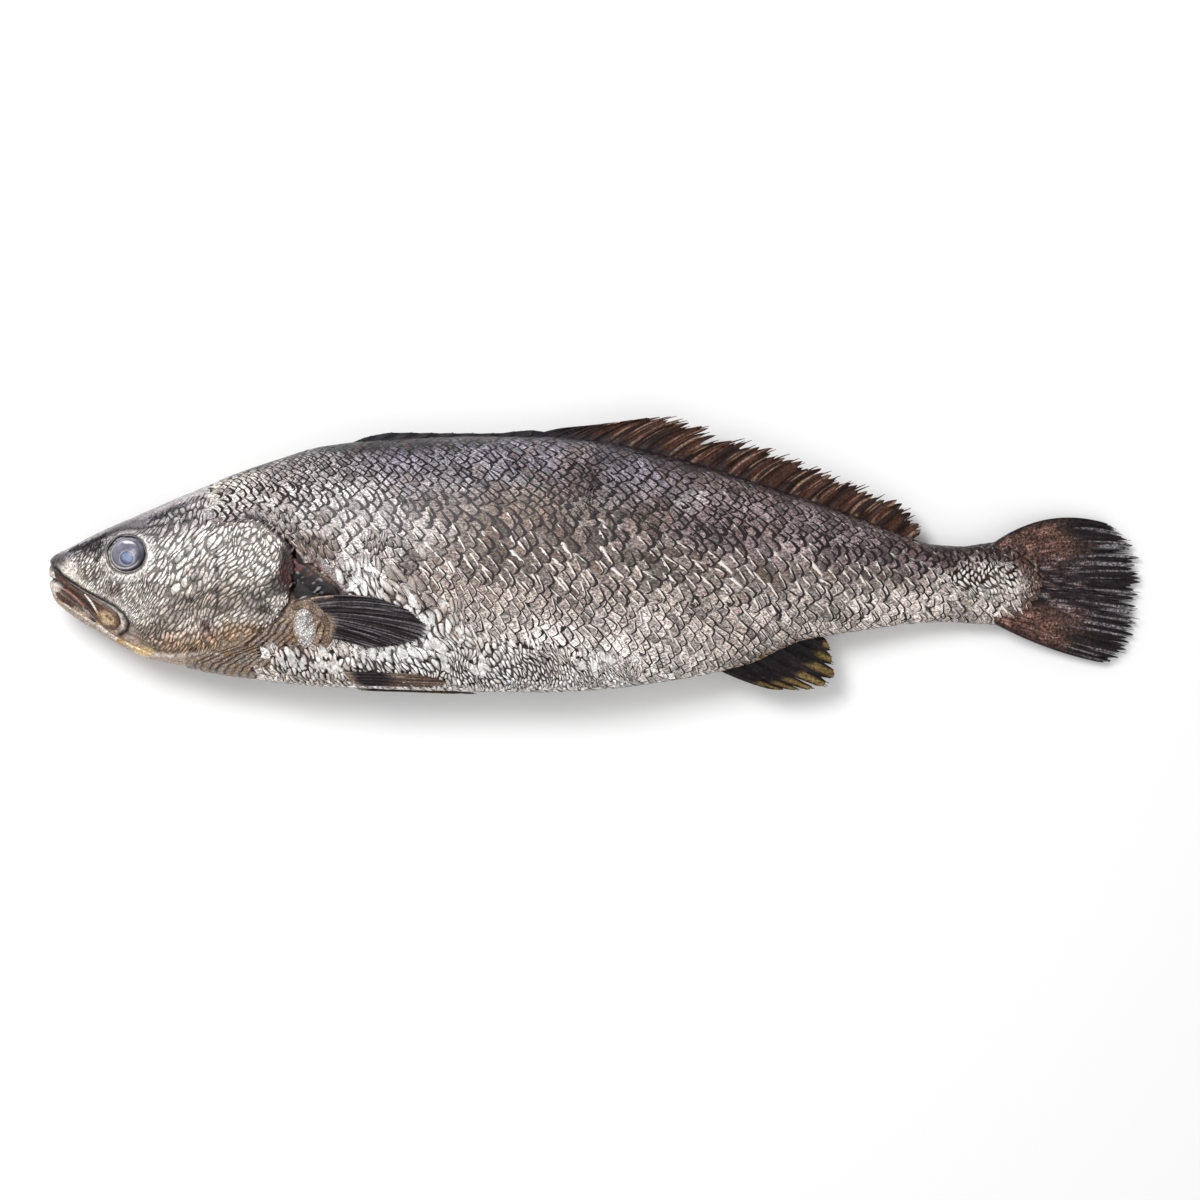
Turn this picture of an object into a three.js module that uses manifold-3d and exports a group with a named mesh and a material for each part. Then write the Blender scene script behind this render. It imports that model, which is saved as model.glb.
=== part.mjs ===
// A whole raw croaker, 600 mm long, lying on its right side on a flat surface with its left side up.
// Millimetres. +X runs from snout to tail, +Y from belly to back, +Z up out of the surface.
// The origin is under the middle of the fish, on the surface.
// The flesh, head, jaws and all fins grow together, so they are one solid; the two eyeballs sit in sockets.
import * as THREE from 'three';
import { mergeVertices } from 'three/addons/utils/BufferGeometryUtils.js';
import Module from 'manifold-3d';

const wasm = await Module();
wasm.setup();

// ---- Driving dimensions -------------------------------------------------------------------------------
// A station is a distance back from the snout; a level is a height above the long axis, towards the back.

const TOTAL_LENGTH = 600;            // snout to the tips of the tail rays
const BODY_LENGTH = 552;             // snout to the end of the flesh inside the tail fin
const SIDE_TILT = 0.1;               // how far the thickest level sits towards the back
const SIDE_FULLNESS = 0.9;           // exponent of the section's side: 1 is an ellipse, less is fuller
const EYE = { station: 43.5, level: 1.4, radius: 9.8, depth: 5.2, sunk: 2.9, gap: 0.3 };
const SKIN_LAP = 1.2;                // how deep a surface piece is rooted in the flesh, so that they are one
const CUT_BELOW = 5;                 // how far a slit's cutter passes the surface that the fish lies on

const backLine = along([
  [0, -7], [0.3, -3.5], [1.5, -1], [5.5, 2.9], [12, 6.2], [25, 12.9], [45, 21.7], [72, 33.4], [98, 43.8],
  [125, 53.1], [151, 60.6], [185, 64.2], [236, 66.1], [270, 66], [292, 64.7], [313, 61.8], [355, 51.5],
  [397, 38.3], [439, 24.5], [468, 13.2], [488, 6.9], [504, 5.9], [514, 7.2], [530, 9], [545, 0],
  [BODY_LENGTH, -14],
]);
const bellyLine = along([
  [0, -7], [0.3, -12.5], [1.2, -18.5], [2.8, -23.5], [5.5, -27.9], [12, -33.2], [25, -41.4], [52, -55.9],
  [66, -59.4], [92, -65], [118, -68.4], [145, -71.1], [204, -73.6], [270, -74.6], [292, -74], [349, -67.2],
  [386, -59], [402, -51.5], [414, -46.6], [440, -42], [475, -37.2], [494, -36.1], [514, -37.2], [530, -38],
  [545, -28], [BODY_LENGTH, -14],
]);
const halfThickness = along([
  [0, 0], [1, 4], [3, 7], [8, 10.5], [25, 16.5], [45, 21], [72, 26], [98, 29.5], [125, 32.5], [160, 35.5],
  [215, 37], [265, 36], [310, 33.5], [350, 30], [390, 25], [430, 19.5], [470, 14], [505, 10], [530, 7],
  [545, 4], [BODY_LENGTH, 0],
]);
// Height of the fish's middle plane above the surface: the belly side is pressed flat, and the tail sags.
const middleHeight = along([
  [0, 28], [60, 31], [120, 32.5], [200, 33], [260, 32.5], [320, 30.5], [380, 26.5], [440, 21], [500, 14.5],
  [560, 8], [TOTAL_LENGTH, 4.5],
]);

// ---- Curves and the skin's surface --------------------------------------------------------------------

// A smooth function through [station, value] pairs that never overshoots them.
function along(pairs) {
  const last = pairs.length - 1;
  const rise = pairs.slice(1).map((p, i) => (p[1] - pairs[i][1]) / (p[0] - pairs[i][0]));
  const slope = pairs.map((p, i) => {
    if (i === 0) return rise[0];
    if (i === last) return rise[last - 1];
    const before = rise[i - 1];
    const after = rise[i];
    return before * after > 0 ? (2 * before * after) / (before + after) : 0;
  });
  return (station) => {
    const s = THREE.MathUtils.clamp(station, pairs[0][0], pairs[last][0]);
    let i = pairs.findIndex((p) => p[0] > s) - 1;
    if (i < 0) i = last - 1;
    const step = pairs[i + 1][0] - pairs[i][0];
    const t = (s - pairs[i][0]) / step;
    const values = t * t * (3 - 2 * t);
    const level = THREE.MathUtils.lerp(pairs[i][1], pairs[i + 1][1], values);
    return level + t * (1 - t) * step * ((1 - t) * slope[i] - t * slope[i + 1]);
  };
}

// A smooth line through [station, level] pairs, read by a share of its length from 0 to 1.
function line(pairs) {
  const curve = new THREE.SplineCurve(pairs.map(([s, l]) => new THREE.Vector2(s, l)));
  return (share) => curve.getPointAt(THREE.MathUtils.clamp(share, 0, 1));
}

// Half thickness of the flesh at a station, for an angle of -90 degrees at the belly to 90 at the back.
function sideAt(station, angle) {
  const bulge = Math.max(Math.cos(angle), 0) ** SIDE_FULLNESS;
  return halfThickness(station) * bulge * (1 + SIDE_TILT * Math.sin(angle));
}

// Height of the skin over the surface. side is 1 on the left, upper side and -1 on the side it lies on.
function skinHeight(station, level, side) {
  const back = backLine(station);
  const belly = bellyLine(station);
  const share = THREE.MathUtils.clamp((2 * level - back - belly) / Math.max(back - belly, 0.01), -1, 1);
  return Math.max(middleHeight(station) + side * sideAt(station, Math.asin(share)), 0);
}

// The unit vector out of the skin.
function skinNormal(station, level, side) {
  const step = 1;
  const alongStation = skinHeight(station + step, level, side) - skinHeight(station - step, level, side);
  const alongLevel = skinHeight(station, level + step, side) - skinHeight(station, level - step, side);
  return new THREE.Vector3(-alongStation * side, -alongLevel * side, 2 * step * side).normalize();
}

// ---- Solids -------------------------------------------------------------------------------------------

// A geometry whose vertices are moved by place(vertex), as a closed solid with its faces pointing out.
function shaped(geometry, place) {
  const positions = geometry.attributes.position;
  const vertex = new THREE.Vector3();
  for (let i = 0; i < positions.count; i++) {
    place(vertex.fromBufferAttribute(positions, i));
    positions.setXYZ(i, vertex.x, vertex.y, vertex.z);
  }
  return closed(geometry);
}

function closed(geometry) {
  geometry.deleteAttribute('normal');
  geometry.deleteAttribute('uv');
  const merged = mergeVertices(geometry, 1e-4);
  const corners = [];
  for (let i = 0; i < merged.index.count; i += 3) {
    const [a, b, c] = [0, 1, 2].map((k) => merged.index.getX(i + k));
    if (a !== b && b !== c && c !== a) corners.push(a, b, c);
  }
  const vertProperties = merged.attributes.position.array;
  const build = (triangles) => new wasm.Manifold(
    new wasm.Mesh({ numProp: 3, vertProperties, triVerts: new Uint32Array(triangles) }),
  );
  const solid = build(corners);
  return solid.volume() > 0 ? solid : build(corners.reverse());
}

function toGeometry(solid) {
  const { vertProperties, triVerts } = solid.getMesh();
  const geometry = new THREE.BufferGeometry();
  geometry.setAttribute('position', new THREE.BufferAttribute(new Float32Array(vertProperties), 3));
  geometry.setIndex(new THREE.BufferAttribute(new Uint32Array(triVerts), 1));
  geometry.computeVertexNormals();
  return geometry;
}

// A steady, repeatable unevenness from -1 to 1 for the nth of a row of like things.
function uneven(n, seed) {
  const wave = Math.sin(n * 12.9898 + seed * 78.233) * 43758.5453;
  return 2 * (wave - Math.floor(wave)) - 1;
}

// ---- Flesh: head and trunk ----------------------------------------------------------------------------

function flesh() {
  const around = 34;
  const rings = 70;
  const headCrowding = 1.6;          // more rings near the snout
  return shaped(new THREE.SphereGeometry(1, around, rings), (v) => {
    const station = BODY_LENGTH * (Math.acos(THREE.MathUtils.clamp(v.y, -1, 1)) / Math.PI) ** headCrowding;
    const turn = Math.atan2(v.z, v.x);
    const back = backLine(station);
    const belly = bellyLine(station);
    const side = Math.cos(turn) < 0 ? -1 : 1;
    const angle = Math.asin(Math.sin(turn));
    const level = (back + belly) / 2 + ((back - belly) / 2) * Math.sin(angle);
    v.set(station, level, Math.max(middleHeight(station) + side * sideAt(station, angle), 0));
  });
}

// ---- Fins ---------------------------------------------------------------------------------------------

// A ray fin between the line where its rays are rooted and the line of their tips. The rays are thicker than
// the web between them, and the web ends short of the tips. height(station, level) is the fin's middle.
function fin({ root, tips, rays, rows, seed, notch, rootThickness, tipThickness, bow = 0, height }) {
  const rootLine = line(root);
  const tipLine = line(tips);
  const columns = rays * 2;
  return shaped(new THREE.BoxGeometry(1, 1, 1, columns, rows, 1), (v) => {
    const column = Math.round((v.x + 0.5) * columns);
    const onRay = column % 2 === 1;
    const reach = (v.y + 0.5) * (onRay ? 1 : 1 - notch * (1 + 0.6 * uneven(column, seed)));
    const rooted = rootLine(column / columns);
    const tip = tipLine(column / columns);
    const across = new THREE.Vector2(rooted.y - tip.y, tip.x - rooted.x);
    const p = rooted.lerp(tip, reach).addScaledVector(across, bow * reach * (1 - reach));
    const thickness = THREE.MathUtils.lerp(rootThickness, tipThickness, reach) * (onRay ? 1 : 0.6);
    v.set(p.x, p.y, Math.max(height(p.x, p.y) + thickness * v.z, 0));
  });
}

const onMiddle = (station) => middleHeight(station);
// A fin that lies against the side, rooted SKIN_LAP deep and lifting off a little towards its tips.
const againstSkin = (side, thickness) => (station, level) =>
  skinHeight(station, level, side) + side * (thickness / 2 - SKIN_LAP);

function tailFin() {
  return fin({
    root: [[517, -36], [514, -15], [517, 6]],
    tips: [
      [578, -57.5], [586, -55.5], [592.5, -51], [597, -46], [600, -37], [600, -24], [600, -8], [598.5, 0],
      [594, 7.5], [589, 13], [585, 16.8],
    ],
    rays: 18, rows: 3, seed: 1, notch: 0.07, rootThickness: 7, tipThickness: 1.4, height: onMiddle,
  });
}

// The tail's outer rays bow outwards, which gives the fin its shouldered outline above and below the flesh.
function tailShoulders() {
  const shoulder = (root, tips, seed) => fin({
    root, tips, rays: 4, rows: 3, seed, notch: 0.03, rootThickness: 5, tipThickness: 1.4, height: onMiddle,
  });
  return [
    shoulder(
      [[512, 5], [522, 8.5], [533, 13.8], [541, 18.6], [548, 20.4]],
      [[560, -8], [575, 4], [583, 11], [586, 16], [574, 17]], 2,
    ),
    shoulder(
      [[520, -36], [528, -38.8], [535, -42], [543, -47.3], [552, -51.3]],
      [[560, -26], [572, -40], [580, -50], [584, -57], [575, -57.2]], 3,
    ),
  ];
}

// The second dorsal fin: soft rays leaning far back.
function softDorsal() {
  return fin({
    root: [[264, 65.5], [292, 62.5], [313, 59.5], [355, 49], [397, 36], [439, 22], [468, 11], [474, 8.5]],
    tips: [
      [300, 71.5], [325, 74.8], [338, 76.2], [352, 71.5], [363, 69.5], [372, 63.5], [384, 63.6], [403, 56.5],
      [425, 48], [443, 40.5], [461, 33.4], [474, 26.5], [480, 17], [481, 13],
    ],
    rays: 26, rows: 2, seed: 4, notch: 0.25, rootThickness: 5, tipThickness: 1, bow: 0.08, height: onMiddle,
  });
}

// The first dorsal fin: spines folded down into their groove, so that only a low dark ridge stands up.
function spinyDorsal() {
  return fin({
    root: [[160, 58.5], [200, 62], [240, 63], [266, 63]],
    tips: [[176, 66.6], [192, 68.2], [215, 67.6], [245, 67.8], [264, 69.6], [270, 68.2]],
    rays: 9, rows: 2, seed: 5, notch: 0.12, rootThickness: 6, tipThickness: 2, height: onMiddle,
  });
}

function analFin() {
  return fin({
    root: [[366, -62], [386, -57], [402, -49.5], [414, -44], [424, -42]],
    tips: [
      [400, -73.8], [412, -74.2], [424, -73], [430.5, -69], [431, -62], [430.5, -56], [429.5, -50],
      [427, -46],
    ],
    rays: 8, rows: 3, seed: 6, notch: 0.16, rootThickness: 5, tipThickness: 1.2, bow: -0.12,
    height: onMiddle,
  });
}

function pectoralFin(side) {
  const thickness = 3;
  return fin({
    root: [[144, -25.5], [149, -31], [152, -38], [153, -45]],
    tips: [[176, -21.6], [192, -25.5], [203, -33], [207.5, -39.5], [203, -44.5], [192, -47.5], [178, -47.8]],
    rays: 9, rows: 3, seed: 7, notch: 0.06, rootThickness: thickness, tipThickness: 2.6, bow: 0.1,
    height: againstSkin(side, thickness),
  });
}

// The paired belly fins lie folded back along the keel, one each side of it.
function pelvicFin(side) {
  const thickness = 2.6;
  const spread = 5;                  // how far each fin stands off the middle plane
  const past = side > 0 ? 0 : 9;     // the lower fin reaches further back than the upper one
  const below = side > 0 ? 0 : 4;    // and shows below it
  return fin({
    root: [[166, -63 - below / 2], [168, -67.5 - below / 2], [171, -71]],
    tips: [
      [212 + past, -68 - below], [221 + past, -69.6 - below], [229 + past, -71.4 - below],
      [222 + past, -72 - below],
    ],
    rays: 4, rows: 3, seed: 8, notch: 0.1, rootThickness: thickness * 2, tipThickness: thickness / 2,
    height: (station) => middleHeight(station) + side * spread,
  });
}

// ---- Head: gape, lips, gill cover and eyes ------------------------------------------------------------

// A band that follows a line on the skin, from `under` below the skin to `over` above it. What is grown on
// the fish stops at the surface it lies on; what is cut out of it goes on down to `lowest`.
function band({ route, width, under, over, side, steps = 10, across = 1, lowest = 0 }) {
  const middle = line(route);
  return shaped(new THREE.BoxGeometry(1, 1, 1, steps, across, 1), (v) => {
    const share = v.x + 0.5;
    const point = middle(share);
    const ahead = middle(share + 0.02).sub(middle(share - 0.02)).normalize();
    const offset = v.y * width(share);
    const station = point.x - ahead.y * offset;
    const level = point.y + ahead.x * offset;
    const height = skinHeight(station, level, side) + side * (v.z > 0 ? over : -under);
    v.set(station, level, Math.max(height, lowest));
  });
}

const swelling = (most, least = 0.4) => (share) => least + (most - least) * Math.sin(Math.PI * share) ** 0.8;

// The gap between the jaws, cut in from each side.
const gape = (side) => band({
  route: [[-2, -13], [8, -17.5], [20, -26.5], [30, -36]],
  width: swelling(3.4, 0.8), under: 5.5, over: 4, side, lowest: -CUT_BELOW,
});

// The upper jaw bone: a plate that widens to a round end over the corner of the mouth.
const jawPlate = (side) => band({
  route: [[4, -9], [14, -17], [26, -26.5], [36, -35.5], [41.5, -40.5]],
  width: (share) => 3 + 8.5 * Math.sin(Math.PI * Math.min(share, 0.93) * 0.62),
  under: SKIN_LAP, over: 1, side, across: 2,
});

// The slit behind the gill cover, from the shoulder round to the throat.
const gillSlit = (side) => band({
  route: [
    [112, 20.5], [123, 16.5], [132, 7.5], [138.5, -3], [139.5, -18], [131, -34], [118, -47], [102, -57.5],
  ],
  width: swelling(3.6, 0.8), under: 4, over: 5, side, steps: 16, lowest: -CUT_BELOW,
});

// The free rear edge of the gill cover stands proud of the shoulder behind it.
const gillFlap = (side) => band({
  route: [[106, 18], [118, 14], [127, 6.5], [133, -3.5], [134, -17], [126, -32], [114, -44], [98, -54]],
  width: (share) => 4 + 6 * Math.sin(Math.PI * share), under: SKIN_LAP, over: 0.9, side, steps: 14,
});

// An eyeball flattened along the way it looks, grown by `extra` all round.
function eyeball(side, extra) {
  const out = skinNormal(EYE.station, EYE.level, side);
  const centre = new THREE.Vector3(EYE.station, EYE.level, skinHeight(EYE.station, EYE.level, side))
    .addScaledVector(out, -EYE.sunk);
  const look = new THREE.Quaternion().setFromUnitVectors(new THREE.Vector3(0, 1, 0), out);
  const radii = new THREE.Vector3(EYE.radius + extra, EYE.depth + extra, EYE.radius + extra);
  return shaped(new THREE.SphereGeometry(1, 20, 10), (v) => {
    v.multiply(radii).applyQuaternion(look).add(centre);
  });
}

// ---- The fish -----------------------------------------------------------------------------------------

function wholeFish() {
  const grown = [
    tailFin(), ...tailShoulders(), softDorsal(), spinyDorsal(), analFin(),
    ...[1, -1].flatMap((side) => [pectoralFin(side), pelvicFin(side), jawPlate(side), gillFlap(side)]),
  ];
  const cut = [1, -1].flatMap((side) => [gape(side), gillSlit(side), eyeball(side, EYE.gap)]);
  const joined = grown.reduce((fish, piece) => fish.add(piece), flesh());
  return cut.reduce((fish, cutter) => fish.subtract(cutter), joined);
}

const skinMaterial = new THREE.MeshStandardMaterial({ color: 0x8f8984, roughness: 0.45, metalness: 0.35 });
const eyeMaterial = new THREE.MeshStandardMaterial({ color: 0x7a86a0, roughness: 0.15, metalness: 0 });

function piece(name, solid, material) {
  const mesh = new THREE.Mesh(toGeometry(solid), material);
  mesh.name = name;
  return mesh;
}

const fish = new THREE.Group();
fish.position.x = -TOTAL_LENGTH / 2;
fish.add(
  piece('fish_body', wholeFish(), skinMaterial),
  piece('eye_left', eyeball(1, 0), eyeMaterial),
  piece('eye_right', eyeball(-1, 0), eyeMaterial),
);

export default fish;
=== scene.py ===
"""A whole raw croaker lying on its right side: skin, scales, head, fins and a plain stage.

Sizes in this script are millimetres, and MM turns them into Blender's metres. A station is a distance back
from the snout, a level a height above the fish's long axis towards its back, and a turn the angle round the
body: -90 degrees at the belly, 0 on the left side, 90 at the back and 180 on the side that it lies on.
"""

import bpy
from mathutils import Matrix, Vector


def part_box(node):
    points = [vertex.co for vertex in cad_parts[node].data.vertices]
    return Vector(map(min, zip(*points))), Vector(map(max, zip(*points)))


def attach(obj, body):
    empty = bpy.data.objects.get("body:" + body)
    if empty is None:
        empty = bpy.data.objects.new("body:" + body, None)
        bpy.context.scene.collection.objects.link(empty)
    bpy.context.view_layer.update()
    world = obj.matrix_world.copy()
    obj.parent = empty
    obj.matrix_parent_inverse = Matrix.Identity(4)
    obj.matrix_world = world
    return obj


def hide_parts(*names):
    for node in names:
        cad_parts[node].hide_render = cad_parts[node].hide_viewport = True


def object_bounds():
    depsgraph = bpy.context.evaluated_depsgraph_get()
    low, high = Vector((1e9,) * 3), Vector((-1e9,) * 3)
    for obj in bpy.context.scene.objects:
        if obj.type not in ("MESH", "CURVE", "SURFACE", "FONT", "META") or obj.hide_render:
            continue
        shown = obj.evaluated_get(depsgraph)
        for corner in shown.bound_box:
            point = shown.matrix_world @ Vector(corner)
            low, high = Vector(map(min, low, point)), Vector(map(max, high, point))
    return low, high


bl_info = {
    "name": "Whole Raw Croaker",
    "version": (1, 0, 0),
    "blender": (4, 5, 0),
    "location": "3D View > Sidebar > Croaker",
    "description": "Builds a whole raw croaker with its scales, head and fins, on a plain stage",
    "category": "Add Mesh",
}

import itertools
import math

import bpy
import numpy as np
from bpy.props import FloatProperty, FloatVectorProperty, IntProperty
from mathutils import Vector

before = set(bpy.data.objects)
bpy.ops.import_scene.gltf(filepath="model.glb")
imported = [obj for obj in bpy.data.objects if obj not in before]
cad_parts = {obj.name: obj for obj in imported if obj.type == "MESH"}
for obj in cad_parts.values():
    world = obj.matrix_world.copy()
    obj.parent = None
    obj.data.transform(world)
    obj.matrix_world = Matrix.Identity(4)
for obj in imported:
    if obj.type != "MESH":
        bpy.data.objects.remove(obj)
CAD_LOW, CAD_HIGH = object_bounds()

# ---- The fish's own dimensions ----

MM = 0.001
SNOUT_X = CAD_LOW.x / MM
BODY_LENGTH = 552
SIDE_TILT = 0.1
SIDE_FULLNESS = 0.9
SIDES = {"left": 1, "right": -1}
EYE = (44.8, 1.1)
EYEBALL = (10.6, 9.9, 5.4)
REST_GAP = 0.05
MOST_LIFT = 1.6


def profile(pairs):
    """A smooth function through pairs of station and value that never overshoots them."""
    knots, values = np.array(pairs, float).T
    rise = np.diff(values) / np.diff(knots)
    before, after = rise[:-1], rise[1:]
    same_way = before * after > 0
    slope = np.empty(len(knots))
    slope[0], slope[-1] = rise[0], rise[-1]
    slope[1:-1] = np.where(same_way, 2 * before * after / np.where(same_way, before + after, 1), 0)

    def read(station):
        s = np.clip(station, knots[0], knots[-1])
        i = np.clip(np.searchsorted(knots, s, side="right") - 1, 0, len(rise) - 1)
        step = knots[i + 1] - knots[i]
        t = (s - knots[i]) / step
        straight = values[i] + (values[i + 1] - values[i]) * t * t * (3 - 2 * t)
        return straight + t * (1 - t) * step * ((1 - t) * slope[i] - t * slope[i + 1])

    return read


back_line = profile([
    (0, -7), (0.3, -3.5), (1.5, -1), (5.5, 2.9), (12, 6.2), (25, 12.9), (45, 21.7), (72, 33.4), (98, 43.8),
    (125, 53.1), (151, 60.6), (185, 64.2), (236, 66.1), (270, 66), (292, 64.7), (313, 61.8), (355, 51.5),
    (397, 38.3), (439, 24.5), (468, 13.2), (488, 6.9), (504, 5.9), (514, 7.2), (530, 9), (545, 0),
    (BODY_LENGTH, -14),
])
belly_line = profile([
    (0, -7), (0.3, -12.5), (1.2, -18.5), (2.8, -23.5), (5.5, -27.9), (12, -33.2), (25, -41.4), (52, -55.9),
    (66, -59.4), (92, -65), (118, -68.4), (145, -71.1), (204, -73.6), (270, -74.6), (292, -74),
    (349, -67.2), (386, -59), (402, -51.5), (414, -46.6), (440, -42), (475, -37.2), (494, -36.1),
    (514, -37.2), (530, -38), (545, -28), (BODY_LENGTH, -14),
])
half_thickness = profile([
    (0, 0), (1, 4), (3, 7), (8, 10.5), (25, 16.5), (45, 21), (72, 26), (98, 29.5), (125, 32.5), (160, 35.5),
    (215, 37), (265, 36), (310, 33.5), (350, 30), (390, 25), (430, 19.5), (470, 14), (505, 10), (530, 7),
    (545, 4), (BODY_LENGTH, 0),
])
middle_height = profile([
    (0, 28), (60, 31), (120, 32.5), (200, 33), (260, 32.5), (320, 30.5), (380, 26.5), (440, 21),
    (500, 14.5), (560, 8), (600, 4.5),
])
lateral_line = profile([(0, -4), (60, 10), (110, 21), (200, 14), (300, 2), (363, -3), (429, -10), (545, -15)])
# Station of the gill cover's free edge, for a share of the body's depth from belly, 0, to back, 1.
gill_line = profile([
    (0, 84), (0.055, 91), (0.119, 101), (0.16, 109.5), (0.214, 118), (0.26, 123.5), (0.306, 128.5),
    (0.413, 135.5), (0.492, 136), (0.555, 136.5), (0.595, 135.5), (0.637, 131), (0.676, 126), (0.725, 120.5),
    (0.755, 113), (0.8, 107), (1, 104),
])


def gill_edge(share):
    """The same station with the edge's small waves."""
    return gill_line(share) + 0.9 * np.sin(150 * share) * np.sin(61 * share + 1) + 0.6 * np.sin(37 * share + 2)


# How free the gill cover's edge is of the shoulder behind it, for the same share.
gill_free = profile([(0, 0), (0.05, 0.2), (0.12, 0.7), (0.2, 1), (0.68, 1), (0.75, 0.6), (0.77, 0), (1, 0)])


def skin(station, turn):
    """Points of the skin as station, level and height above the surface that the fish lies on."""
    back, belly = back_line(station), belly_line(station)
    rise = np.sin(turn)
    side = np.where(np.cos(turn) < 0, -1, 1)
    bulge = half_thickness(station) * np.abs(np.cos(turn)) ** SIDE_FULLNESS * (1 + SIDE_TILT * rise)
    level = (back + belly) / 2 + (back - belly) / 2 * rise
    return np.stack(np.broadcast_arrays(station, level, middle_height(station) + side * bulge), -1)


def normalised(vectors):
    """The vectors made one long."""
    return vectors / np.maximum(np.linalg.norm(vectors, axis=-1, keepdims=True), 1e-9)


def lifted(station, turn, lift):
    """Points standing `lift` proud of the skin, kept clear of the surface that the fish lies on."""
    station, turn, lift = np.broadcast_arrays(*(np.asarray(v, float) for v in (station, turn, lift)))
    along = skin(station + 0.5, turn) - skin(station - 0.5, turn)
    around = skin(station, turn + 0.01) - skin(station, turn - 0.01)
    points = skin(station, turn) + normalised(np.cross(along, around)) * lift[..., None]
    points[..., 2] = np.maximum(points[..., 2], REST_GAP + 0.35 * np.maximum(MOST_LIFT - lift, 0))
    return points


def depth_share(station, level):
    """Where a level lies in the body's depth, from 0 at the belly to 1 at the back."""
    back, belly = back_line(station), belly_line(station)
    return np.clip((level - belly) / np.maximum(back - belly, 0.01), 0, 1)


def on_side(turn, side):
    """A turn of the left side, or the same place's turn on the right side."""
    return turn if side > 0 else math.pi - turn


def turn_for(station, level, side=1):
    """The turn at which a side's skin has this level."""
    return on_side(np.arcsin(np.clip(2 * depth_share(station, level) - 1, -0.9995, 0.9995)), side)


def turn_share(turn):
    """Where a turn lies in the body's depth, from 0 at the belly to 1 at the back."""
    return (np.sin(turn) + 1) / 2


def flat_points(first, second):
    """Points from two coordinates, with 0 for the third."""
    return np.stack([first, second, 0 * first], -1)


STATION_STEP = 2
GIRTH_REACH = 150


def girth_table():
    """Turns for whole millimetres round the left side, up and down from the lateral line, at each step."""
    stations = np.arange(0, BODY_LENGTH + 10, STATION_STEP, dtype=float)
    turns = np.linspace(-math.pi / 2 - 0.15, math.pi / 2 + 0.15, 361)
    points = skin(stations[:, None], turns[None])
    steps = np.linalg.norm(np.diff(points, axis=1), axis=-1)
    lengths = np.concatenate([np.zeros((len(stations), 1)), np.cumsum(steps, axis=1)], axis=1)
    girths = np.arange(-GIRTH_REACH, GIRTH_REACH + 1.0)
    rows = []
    for station, length in zip(stations, lengths):
        start = np.interp(turn_for(station, lateral_line(station)), turns, length)
        rows.append(np.interp(girths, length - start, turns))
    return np.array(rows)


GIRTH_TABLE = girth_table()


def turn_at(station, girth):
    """The left side's turn at a distance round the skin from the lateral line, up being positive."""
    i = np.clip(station / STATION_STEP, 0, GIRTH_TABLE.shape[0] - 1.001)
    j = np.clip(girth + GIRTH_REACH, 0, GIRTH_TABLE.shape[1] - 1.001)
    low_i, low_j = i.astype(int), j.astype(int)
    i, j = i - low_i, j - low_j
    near = GIRTH_TABLE[low_i, low_j] * (1 - j) + GIRTH_TABLE[low_i, low_j + 1] * j
    far = GIRTH_TABLE[low_i + 1, low_j] * (1 - j) + GIRTH_TABLE[low_i + 1, low_j + 1] * j
    return near * (1 - i) + far * i


def lengths_along(points):
    """How far along a line each of its points lies."""
    return np.concatenate([[0], np.cumsum(np.linalg.norm(np.diff(points, axis=0), axis=1))])


def read_rows(at, knots, rows):
    """Rows read in between, at places among the knots that they stand at."""
    return np.stack([np.interp(at, knots, column) for column in rows.T], -1)


def route(pairs):
    """A smooth line through points of station and level, read by a share of its length from 0 to 1."""
    points = np.array(pairs, float)
    ends = np.vstack([points[:1], points, points[-1:]])
    t = np.linspace(0, 1, 24, endpoint=False)[:, None]
    parts = []
    for a, b, c, d in zip(ends, ends[1:], ends[2:], ends[3:]):
        start, end = (c - a) / 2, (d - b) / 2
        parts.append((2 * b - 2 * c + start + end) * t**3 + (3 * c - 3 * b - 2 * start - end) * t**2 + start * t + b)
    dense = np.vstack([*parts, points[-1:]])
    length = lengths_along(dense)
    length /= length[-1]
    return lambda share: read_rows(share, length, dense)


def distance_to(points, station, level):
    """Distance of places on the side from a line of straight stretches."""
    nearest = np.full(np.shape(station), 1e9)
    points = np.array(points, float)
    if len(points) == 1:
        return np.hypot(station - points[0, 0], level - points[0, 1])
    for a, b in zip(points, points[1:]):
        step = b - a
        t = np.clip(((station - a[0]) * step[0] + (level - a[1]) * step[1]) / (step @ step), 0, 1)
        nearest = np.minimum(nearest, np.hypot(station - a[0] - t * step[0], level - a[1] - t * step[1]))
    return nearest


def cloud(points, size, seed):
    """Smooth noise from -1 to 1 at points, with lumps about `size` across."""
    lattice = np.random.default_rng(seed).uniform(-1, 1, (32, 32, 32))
    scaled = np.asarray(points, float) / size + 100
    low = np.floor(scaled).astype(int)
    part = scaled - low
    part = part * part * (3 - 2 * part)
    total = np.zeros(low.shape[:-1])
    for corner in itertools.product((0, 1), repeat=3):
        weight = np.prod(np.where(corner, part, 1 - part), axis=-1)
        i, j, k = np.moveaxis((low + corner) % 32, -1, 0)
        total += weight * lattice[i, j, k]
    return total


def turned(x, y, angle):
    """The coordinates of a flat shape turned by an angle."""
    return x * np.cos(angle) - y * np.sin(angle), x * np.sin(angle) + y * np.cos(angle)


def smooth(value, low, high):
    """0 below low, 1 above high, and an even rise between them."""
    t = np.clip((value - low) / (high - low), 0, 1)
    return t * t * (3 - 2 * t)


def lumps(points, size, seed, low, high):
    """Smooth noise, cut to 0 below low and to 1 above high."""
    return smooth(cloud(points, size, seed), low, high)


# ---- Settings that a user would change ----

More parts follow.
